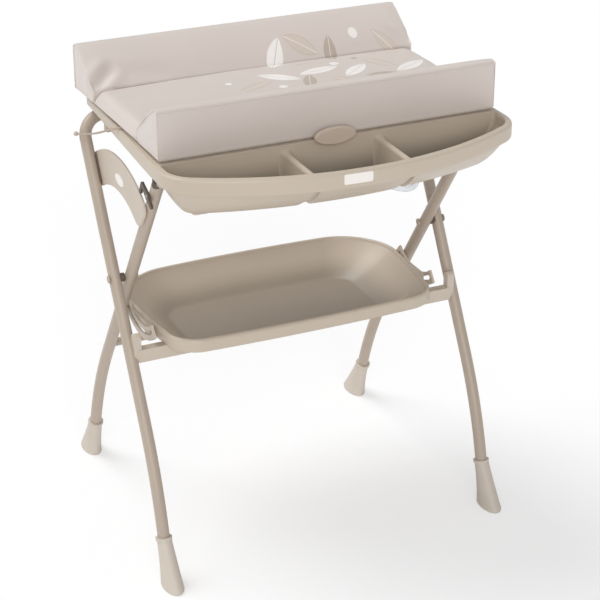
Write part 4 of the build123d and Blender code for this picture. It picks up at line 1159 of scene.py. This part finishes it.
class TRAY_OT_build(Operator):
    """Build the storage tray with its rolled rim and deep bowl"""

    bl_idname = "table.tray"
    bl_label = "Storage tray"

    def execute(self, context):
        tray = context.scene.tray_sizes

        def rim_at(inset, z):
            return tray_ring(
                tray.half_front - inset, tray.half_back - inset, inset - tray.front, tray.back - inset,
                tray_front_corner - inset, tray_back_corner - inset, 1.0, z,
            )

        def wall_at(lip, floor_inset, step, z):
            portion = curved_share(step, tray_curve)
            return tray_ring(
                between(tray.half_front - lip, tray_floor_half - floor_inset, portion),
                between(tray.half_back - lip, tray_floor_half - floor_inset, portion),
                between(lip - tray.front, tray_floor_front + floor_inset, portion),
                between(tray.back - lip, tray_floor_back - floor_inset, portion),
                between(tray_front_corner - lip, tray_floor_corner - floor_inset, portion),
                between(tray_back_corner - lip, tray_floor_corner - floor_inset, portion),
                between(1.0, 0.5, portion), z,
            )

        floor = tray.height - tray.depth
        rings = []
        start = tray.height - tray_rim_rows[0][1] * MM
        for step in reversed(spread(tray_first_share, 1, tray_levels)):
            z = between(start, floor + tray_wall, step)
            rings.append(wall_at(tray_rim_rows[0][0] * MM, tray_wall, step, z))
        for inset, down in tray_rim_rows:
            rings.append(rim_at(inset * MM, tray.height - down * MM))
        start = tray.height - tray_rim_rows[-1][1] * MM
        for step in spread(tray_first_share, 1, tray_levels):
            rings.append(wall_at(tray_lip - tray_wall, 0.0, step, between(start, floor, step)))
        points, faces = loft(rings)
        made = piece("tray", points, faces, finishes["tray"], "front_frame")
        # The inner faces of the bowl get the plastic with painted shade towards its floor.
        made.data.materials.append(finishes["bowl"].material)
        inner = tray_levels * len(rings[0])
        for polygon in made.data.polygons:
            if max(polygon.vertices) < inner:
                polygon.material_index = 1
        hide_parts("storage_tray")
        return {"FINISHED"}


# Mat
mat_columns = 150
badge_lift = 2.6 * MM
left_spread = 8 * MM
wedge_drawn_depth = 109
wedge_drawn_height = 97.4
wedge_points = 74
wedge_end_gap = 1.5 * MM
# A wedge's section as drawn at that depth and height: how far in from its outer face, and how high
wedge_rows = (
    (3.4, 0.0), (3.3, -2.6), (2.2, -3.8), (0.9, -3.2), (0.4, 0.5), (0.2, 14.0), (0.0, 32.0),
    (0.1, 52.0), (0.6, 72.0), (1.0, 84.0), (1.4, 90.0), (2.4, 93.2), (5.0, 96.0), (9.0, 97.4),
    (15.0, 97.0), (21.0, 95.2), (28.0, 91.6),
    (36.0, 86.4), (46.0, 79.4), (56.0, 72.0), (66.0, 64.0), (76.0, 55.4), (86.0, 46.4), (95.0, 37.8),
    (102.0, 31.4), (106.4, 27.8), (108.4, 26.0), (108.4, 20.0), (107.6, 8.0), (105.0, 1.0), (100.0, 0.0),
    (80.0, 0.0), (55.0, 0.0), (30.0, 0.0), (12.0, 0.0),
)
# How large the section is where a wedge's end closes, as shares of the whole section
cap_shares = (0.12, 0.3, 0.5, 0.68, 0.82, 0.92, 0.975)
cap_bulge = 1.4 * MM
cap_lap = 0.2 * MM
end_squeeze = 0.012
end_reach = 6 * MM
# Folds near the ends of a wedge's slope: the end, the places in millimetres in from that end, back
# from the wedge's front and up from its foot where the fold starts and ends, its width and its depth
front_folds = ((-1, (4, 30, 30), (40, 92, 36), 8, 2.5),)
back_folds = (
    (-1, (6, 8, 30), (64, 44, 62), 13, 8),
    (-1, (60, 30, 50), (180, 12, 36), 16, 2.5),
    (1, (4, 10, 32), (46, 40, 58), 12, 4),
)
wedge_foot_share = 0.04
wedge_edge_fade = 30 * MM
wedge_face = 6 * MM
face_swell = 0.6 * MM
slope_swell = 2.0 * MM
push_limit = 9 * MM
crest_limit = 1.2 * MM
crest_zone = 4 * MM
crest_line = 2 * MM
pad_rows = 40
pad_lap = 1 * MM
pad_low_columns = 60
pad_fall_start = 0.925
pad_fall_run = 0.075
pad_thinning = 0.78
welt_radius = 1.1 * MM


def splay(point, mat):
    """Let the mat's left end stand out a little towards the back."""
    portion = (point.y - PIVOT_Y + mat.front) / (mat.front + mat.back)
    to_left = max(0.0, min(1.0, -point.x / mat.half_width))
    return Vector((point.x - left_spread * portion * to_left**3, point.y, point.z))


def noise_at(point, scales, offset):
    """Noise at a place, scaled along each axis and taken from an offset."""
    scaled = Vector((point.x * scales[0], point.y * scales[1], point.z * scales[2]))
    return noise.noise(scaled + Vector(offset))


def ripple(point, seed):
    """Slow unevenness of stuffed fabric at a place."""
    slow = noise_at(point, (9, 16, 16), (seed, 0, 0))
    fine = noise_at(point, (34, 40, 30), (0, seed, 0))
    return 0.9 * MM * slow + 0.25 * MM * fine


def end_folds(point, half_width, seed):
    """Upright creases that gather where the cover closes at the ends."""
    to_end = half_width - abs(point.x)
    fade = math.exp(-to_end / (38 * MM))
    ridged = 1 - abs(noise_at(point, (50, 55, 12), (seed, seed, 0)))
    return 2.2 * MM * fade * (ridged - 0.75)


def valley(point, start, end, width, depth):
    """A soft fold along a line, with a low ridge beside it."""
    line = end - start
    share_along = max(0.0, min(1.0, (point - start).dot(line) / line.length_squared))
    away = (point - (start + line * share_along)).length / width
    taper = math.sin(HALF_TURN * min(1.0, 0.15 + share_along * 0.85))
    return -depth * taper * (math.exp(-away * away) - 0.45 * math.exp(-((away - 1.7) ** 2)))


class MAT_OT_build(Operator):
    """Build the changing mat: pad, two wedges, edge welts and the bare round badge"""

    bl_idname = "table.mat"
    bl_label = "Changing mat"

    def execute(self, context):
        mat = context.scene.mat_sizes
        self.wedge(mat, "front_wedge", "front_bolster", -mat.front, 1, 3.0)
        self.wedge(mat, "back_wedge", "back_bolster", mat.back, -1, 11.0)
        self.pad(mat)
        self.welts(mat)
        self.badge(mat)
        return {"FINISHED"}

    def wedge(self, mat, name, node, outer, side, seed):
        """A stuffed wedge along the mat's front or back edge."""
        deep = mat.bolster / wedge_drawn_depth
        high = (mat.top - mat.low) / wedge_drawn_height
        section = resample([(d * deep, mat.low + h * high) for d, h in wedge_rows], wedge_points)
        middle_d = sum(d for d, z in section) / len(section)
        middle_z = sum(z for d, z in section) / len(section)
        rings = []
        half = mat.half_width - wedge_end_gap

        def ring_at(x, size):
            ring = []
            for d, z in section:
                scaled_d = middle_d + (d - middle_d) * size
                scaled_z = middle_z + (z - middle_z) * size
                ring.append(place(x, outer + side * scaled_d, scaled_z))
            return ring

        for size in cap_shares:
            rings.append(ring_at(-half - cap_bulge * (1 - size * size) + cap_lap, size))
        for x in spread(-half, half, mat_columns):
            rings.append(ring_at(x, 1 - end_squeeze * math.exp((abs(x) - half) / end_reach)))
        for size in reversed(cap_shares):
            rings.append(ring_at(half + cap_bulge * (1 - size * size) - cap_lap, size))
        points, faces = loft(rings)
        folds = self.slope_folds(mat, outer, side)
        made = self.cushion(
            mat, name, points, faces, lambda p: self.wedge_push(p, mat, outer, side, seed, folds)
        )
        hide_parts(node)

    def cushion(self, mat, name, points, faces, push):
        """A padded piece whose cover is pushed out and in along its normals."""
        moved = [splay(p, mat) for p in soften(points, faces, push)]
        made = piece(name, moved, faces, finishes["printed"], "mat", 70, False)
        made.modifiers.new("Soft", "SUBSURF").render_levels = 1
        return made

    def slope_folds(self, mat, outer, side):
        """Folds on a wedge's sloping face, near its ends."""
        front = outer if side > 0 else outer - mat.bolster
        made = []
        for end, *spots, width, depth in front_folds if side > 0 else back_folds:
            places = [
                place(end * (mat.half_width - inward * MM), front + back * MM, mat.low + up * MM)
                for inward, back, up in spots
            ]
            made.append((*places, width * MM, depth * MM))
        return made

    def wedge_push(self, point, mat, outer, side, seed, folds):
        """How far a place on a wedge is pushed out along its normal."""
        inward = side * (point.y - PIVOT_Y - outer)
        up = (point.z - mat.low) / (mat.top - mat.low)
        if up < wedge_foot_share:
            return 0.0
        near_edge = min(1.0, (mat.half_width - abs(point.x)) / wedge_edge_fade)
        on_face = math.sin(HALF_TURN * min(1.0, max(0.0, up)))
        push = ripple(point, seed) * on_face
        push += 0.5 * end_folds(point, mat.half_width, seed) * on_face
        if inward < wedge_face:
            push = push * 0.35 + face_swell * on_face * near_edge
        else:
            push += slope_swell * math.sin(HALF_TURN * min(1.0, inward / mat.bolster)) * near_edge
        for start, end, width, depth in folds:
            push += valley(point, start, end, width, depth)
        if point.z >= mat.top - crest_line:
            return min(0.0, push)
        limit = crest_limit if point.z > mat.top - crest_zone else push_limit
        return max(-push_limit, min(limit, push))

    def pad(self, mat):
        """The flat pad between the wedges, crowned and rounded at its ends."""
        front = -mat.front + mat.bolster - pad_lap
        back = mat.back - mat.bolster + pad_lap
        section = []
        for x in spread(-1, 1, mat_columns):
            rise = mat.crown * (1 - x * x)
            fall = max(0.0, abs(x) - pad_fall_start) / pad_fall_run
            thickness = mat.pad * (1 - pad_thinning * fall**2.4) + rise
            section.append((x * (mat.half_width - 0.5 * MM), mat.low + thickness))
        low_half = mat.half_width - 2 * MM
        lower = [(x, mat.low) for x in spread(low_half, -low_half, pad_low_columns)]
        rings = []
        for y in spread(front, back, pad_rows):
            rings.append([place(x, y, z) for x, z in section + lower])
        points, faces = loft(rings)

        def push(point):
            if point.z < mat.low + 4 * MM:
                return 0.0
            from_edge = min(point.y - PIVOT_Y - front, back - point.y + PIVOT_Y)
            tuck = -3.0 * MM * math.exp(-max(0.0, from_edge) / (7 * MM))
            swell = 1.4 * MM * min(1.0, from_edge / (50 * MM))
            corner = 0.7 * end_folds(point, mat.half_width, 21.0)
            return tuck + swell + ripple(point, 5.0) + corner

        made = self.cushion(mat, "pad", points, faces, push)
        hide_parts("mat_pad")

    def welts(self, mat):
        """Welded edges of the cover, as thin rounded welts."""
        half = mat.half_width - 1 * MM
        routes = []
        for outer, side in ((-mat.front, 1), (mat.back, -1)):
            face = outer + side * 1.0 * MM
            low = mat.low + 2 * MM
            high = mat.top - 5.6 * MM
            inner = outer + side * (mat.bolster - 2 * MM)
            routes.append([(-half, face, low), (-half, face, high), (half, face, high), (half, face, low)])
            routes.append([(half, face, low), (-half, face, low)])
            for end in (-half, half):
                crest = outer + side * 14 * MM
                routes.append([(end, face, high), (end, crest, mat.top - 2 * MM),
                               (end, between(crest, inner, 0.5), between(mat.top, mat.low + mat.pad, 0.46)),
                               (end, inner, mat.low + mat.pad + 1 * MM)])
        for end in (-half, half):
            edge = mat.low + 5.5 * MM
            routes.append([(end, -mat.front, mat.low + 2 * MM), (end, -mat.front + 100 * MM, edge),
                           (end, mat.back - 100 * MM, edge), (end, mat.back, mat.low + 2 * MM)])
        curve = bpy.data.curves.new("mat_welts", "CURVE")
        curve.dimensions = "3D"
        curve.bevel_depth = welt_radius
        curve.bevel_resolution = 3
        curve.use_fill_caps = True
        for route in routes:
            spline = curve.splines.new("POLY")
            spline.points.add(len(route) - 1)
            for point, spot in zip(spline.points, route):
                point.co = (*splay(place(*spot), mat), 1)
        helper = bpy.data.objects.new("mat_welts", curve)
        bpy.context.scene.collection.objects.link(helper)
        settle(as_mesh("mat_welts", helper), finishes["mat"], "mat")

    def badge(self, mat):
        """A bare round badge with a raised ring."""
        low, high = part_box("mat_badge")
        centre = (low + high) / 2
        radius = (high.x - low.x) / 2
        profile = (
            (radius - 0.2 * MM, -6.0), (radius, -1.2), (radius - 0.6 * MM, -0.4), (radius - 1.8 * MM, 0.0),
            (radius - 3.6 * MM, -0.2), (radius - 4.6 * MM, -0.9), (radius - 6.0 * MM, -1.0),
            (radius - 8.0 * MM, -0.7), (radius * 0.35, -0.35), (radius * 0.1, -0.3),
        )
        points, faces = turned([(r, high.z + badge_lift + h * MM) for r, h in profile], centre)
        made = piece("bare_mat_badge", points, faces, finishes["badge"], "mat", 60)
        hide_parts("mat_badge")


def resample(route, count):
    """Evenly spaced places along a closed route."""
    closed = list(route) + [route[0]]
    spans = [math.dist(a, b) for a, b in zip(closed, closed[1:])]
    total = sum(spans)
    made = []
    for i in range(count):
        target = total * i / count
        k = 0
        while target > spans[k] and k < len(spans) - 1:
            target -= spans[k]
            k += 1
        portion = target / spans[k]
        made.append((between(closed[k][0], closed[k + 1][0], portion),
                     between(closed[k][1], closed[k + 1][1], portion)))
    return made


def soften(points, faces, push):
    """Move each point along its normal by what push says of its place."""
    work = bmesh.new()
    corners = [work.verts.new(p) for p in points]
    for face in faces:
        work.faces.new([corners[i] for i in face])
    bmesh.ops.recalc_face_normals(work, faces=work.faces)
    work.normal_update()
    moved = [v.co + v.normal * push(v.co) for v in corners]
    work.free()
    return moved


# Side plates
sector_inner = 190 * MM
sector_outer = 262 * MM
sector_front = 38.0
sector_back = -33.0
sector_tip = 24 * MM
sector_heel = 14 * MM
plate_x = 355 * MM
plate_thickness = 6 * MM


def sector_outline():
    """A ring sector about the pivot, seen from the side as Y and Z, with rounded ends."""
    outline = []

    def at(reach, lean):
        turn = math.radians(lean)
        return (-reach * math.sin(turn), PIVOT_Z + reach * math.cos(turn))

    def corner(reach, end, radius, outer, front):
        """A rounded corner between an arc and an end line."""
        hub_reach = reach - radius if outer else reach + radius
        lean_in = math.degrees(math.asin(radius / hub_reach))
        lean = end - lean_in if front else end + lean_in
        return at(hub_reach, lean), math.radians(lean), math.radians(end)

    def rounded(reach, end, radius, outer, front, from_arc):
        hub, lean, end_angle = corner(reach, end, radius, outer, front)
        along = QUARTER_TURN + lean if outer else QUARTER_TURN + lean + HALF_TURN
        across = QUARTER_TURN + end_angle + (QUARTER_TURN if front else -QUARTER_TURN)
        while across - along > HALF_TURN:
            across -= 2 * HALF_TURN
        while along - across > HALF_TURN:
            across += 2 * HALF_TURN
        if not from_arc:
            along, across = across, along
        return arc(hub[0], hub[1], radius, along, across, 10)

    outline += [at(sector_outer, lean) for lean in spread(sector_back + 5, sector_front - 7, 40)]
    outline += rounded(sector_outer, sector_front, sector_tip, True, True, True)
    outline += rounded(sector_inner, sector_front, sector_tip, False, True, False)
    outline += [at(sector_inner, lean) for lean in spread(sector_front - 9, sector_back + 6, 40)]
    outline += rounded(sector_inner, sector_back, sector_heel, False, False, True)
    outline += rounded(sector_outer, sector_back, sector_heel, True, False, False)
    return outline


class PLATES_OT_build(Operator):
    """Build the arc-shaped side plates and finish their badges, seats and rivets"""

    bl_idname = "table.plates"
    bl_label = "Side plates"

    def execute(self, context):
        for side, name in ((-1, "left_side_plate"), (1, "right_side_plate")):
            made = plate(name + "_moulded", (sector_outline(),), plate_thickness, 2.0 * MM,
                         side_matrix(side * plate_x))
            settle(made, finishes["plates"], "front_frame")
            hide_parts(name)
        dress(["side_badges"], finishes["badge"])
        dress(["side_plate_seats"], finishes["dark"])
        dress(["side_plate_rivets"], finishes["steel"], 0.4 * MM)
        return {"FINISHED"}


class FRAME_OT_build(Operator):
    """Finish the legs, the tubes between them and the boots"""

    bl_idname = "table.frame"
    bl_label = "Legs and boots"

    def execute(self, context):
        for side in ("left", "right"):
            dress([side + "_front_leg", side + "_rear_leg"], finishes["frame"])
            dress([side + "_front_foot", side + "_rear_foot"], finishes["feet"])
        dress(["rear_cross_tube", "leg_brace", "scissor_pins"], finishes["frame"])
        return {"FINISHED"}


class FITTINGS_OT_build(Operator):
    """Finish the fittings: arms, guides, rails, clips, hinges, latches, catch and drain"""

    bl_idname = "table.fittings"
    bl_label = "Fittings"

    def execute(self, context):
        edge = 0.8 * MM
        dress(["left_tray_arm", "right_tray_arm", "left_tray_guide", "right_tray_guide"],
              finishes["plates"], edge)
        dress(["left_slide_rail", "right_slide_rail", "cross_tube_clips"], finishes["tub"], edge)
        dress(["mat_hinge_brackets", "hose_clip"], finishes["tub"], edge)
        dress(["glide_pads", "left_latch", "right_latch", "scissor_spacers"], finishes["dark"], edge / 2)
        dress(["clip_screws", "hinge_pins", "guide_pins", "latch_pins", "catch_pin"], finishes["steel"])
        dress(["drain_fitting", "drain_nut", "drain_plug"], finishes["fitting"], edge / 2)
        dress(["mat_board", "mat_hinge_leaves", "catch_mount"], finishes["board"], edge / 2)
        dress(["mat_catch", "elastic_balls"], finishes["catch"])
        return {"FINISHED"}


class TABLE_PT_panel(Panel):
    """Lists the pieces of the changing table and their values"""

    bl_label = "Changing Table"
    bl_idname = "TABLE_PT_panel"
    bl_space_type = "VIEW_3D"
    bl_region_type = "UI"
    bl_category = "Changing Table"

    def draw(self, context):
        for group in (context.scene.studio_sizes, context.scene.table_colours, context.scene.tub_sizes,
                      context.scene.tray_sizes, context.scene.mat_sizes):
            box = self.layout.box()
            for name in group.__annotations__:
                box.prop(group, name)
        for operator in operators:
            self.layout.operator(operator.bl_idname)


operators = (
    STUDIO_OT_build,
    CORDS_OT_build,
    TUB_OT_build,
    TRAY_OT_build,
    MAT_OT_build,
    PLATES_OT_build,
    FRAME_OT_build,
    FITTINGS_OT_build,
)
groups = (
    (StudioSizes, "studio_sizes"),
    (TableColours, "table_colours"),
    (TubSizes, "tub_sizes"),
    (TraySizes, "tray_sizes"),
    (MatSizes, "mat_sizes"),
)


def register():
    for group, name in groups:
        bpy.utils.register_class(group)
        setattr(bpy.types.Scene, name, PointerProperty(type=group))
    for made in (*operators, TABLE_PT_panel):
        bpy.utils.register_class(made)


def unregister():
    for made in (TABLE_PT_panel, *reversed(operators)):
        bpy.utils.unregister_class(made)
    for group, name in reversed(groups):
        delattr(bpy.types.Scene, name)
        bpy.utils.unregister_class(group)


def main():
    """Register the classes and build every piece."""
    register()
    for operator in operators:
        area, action = operator.bl_idname.split(".")
        getattr(getattr(bpy.ops, area), action)()


if __name__ == "__main__":
    main()
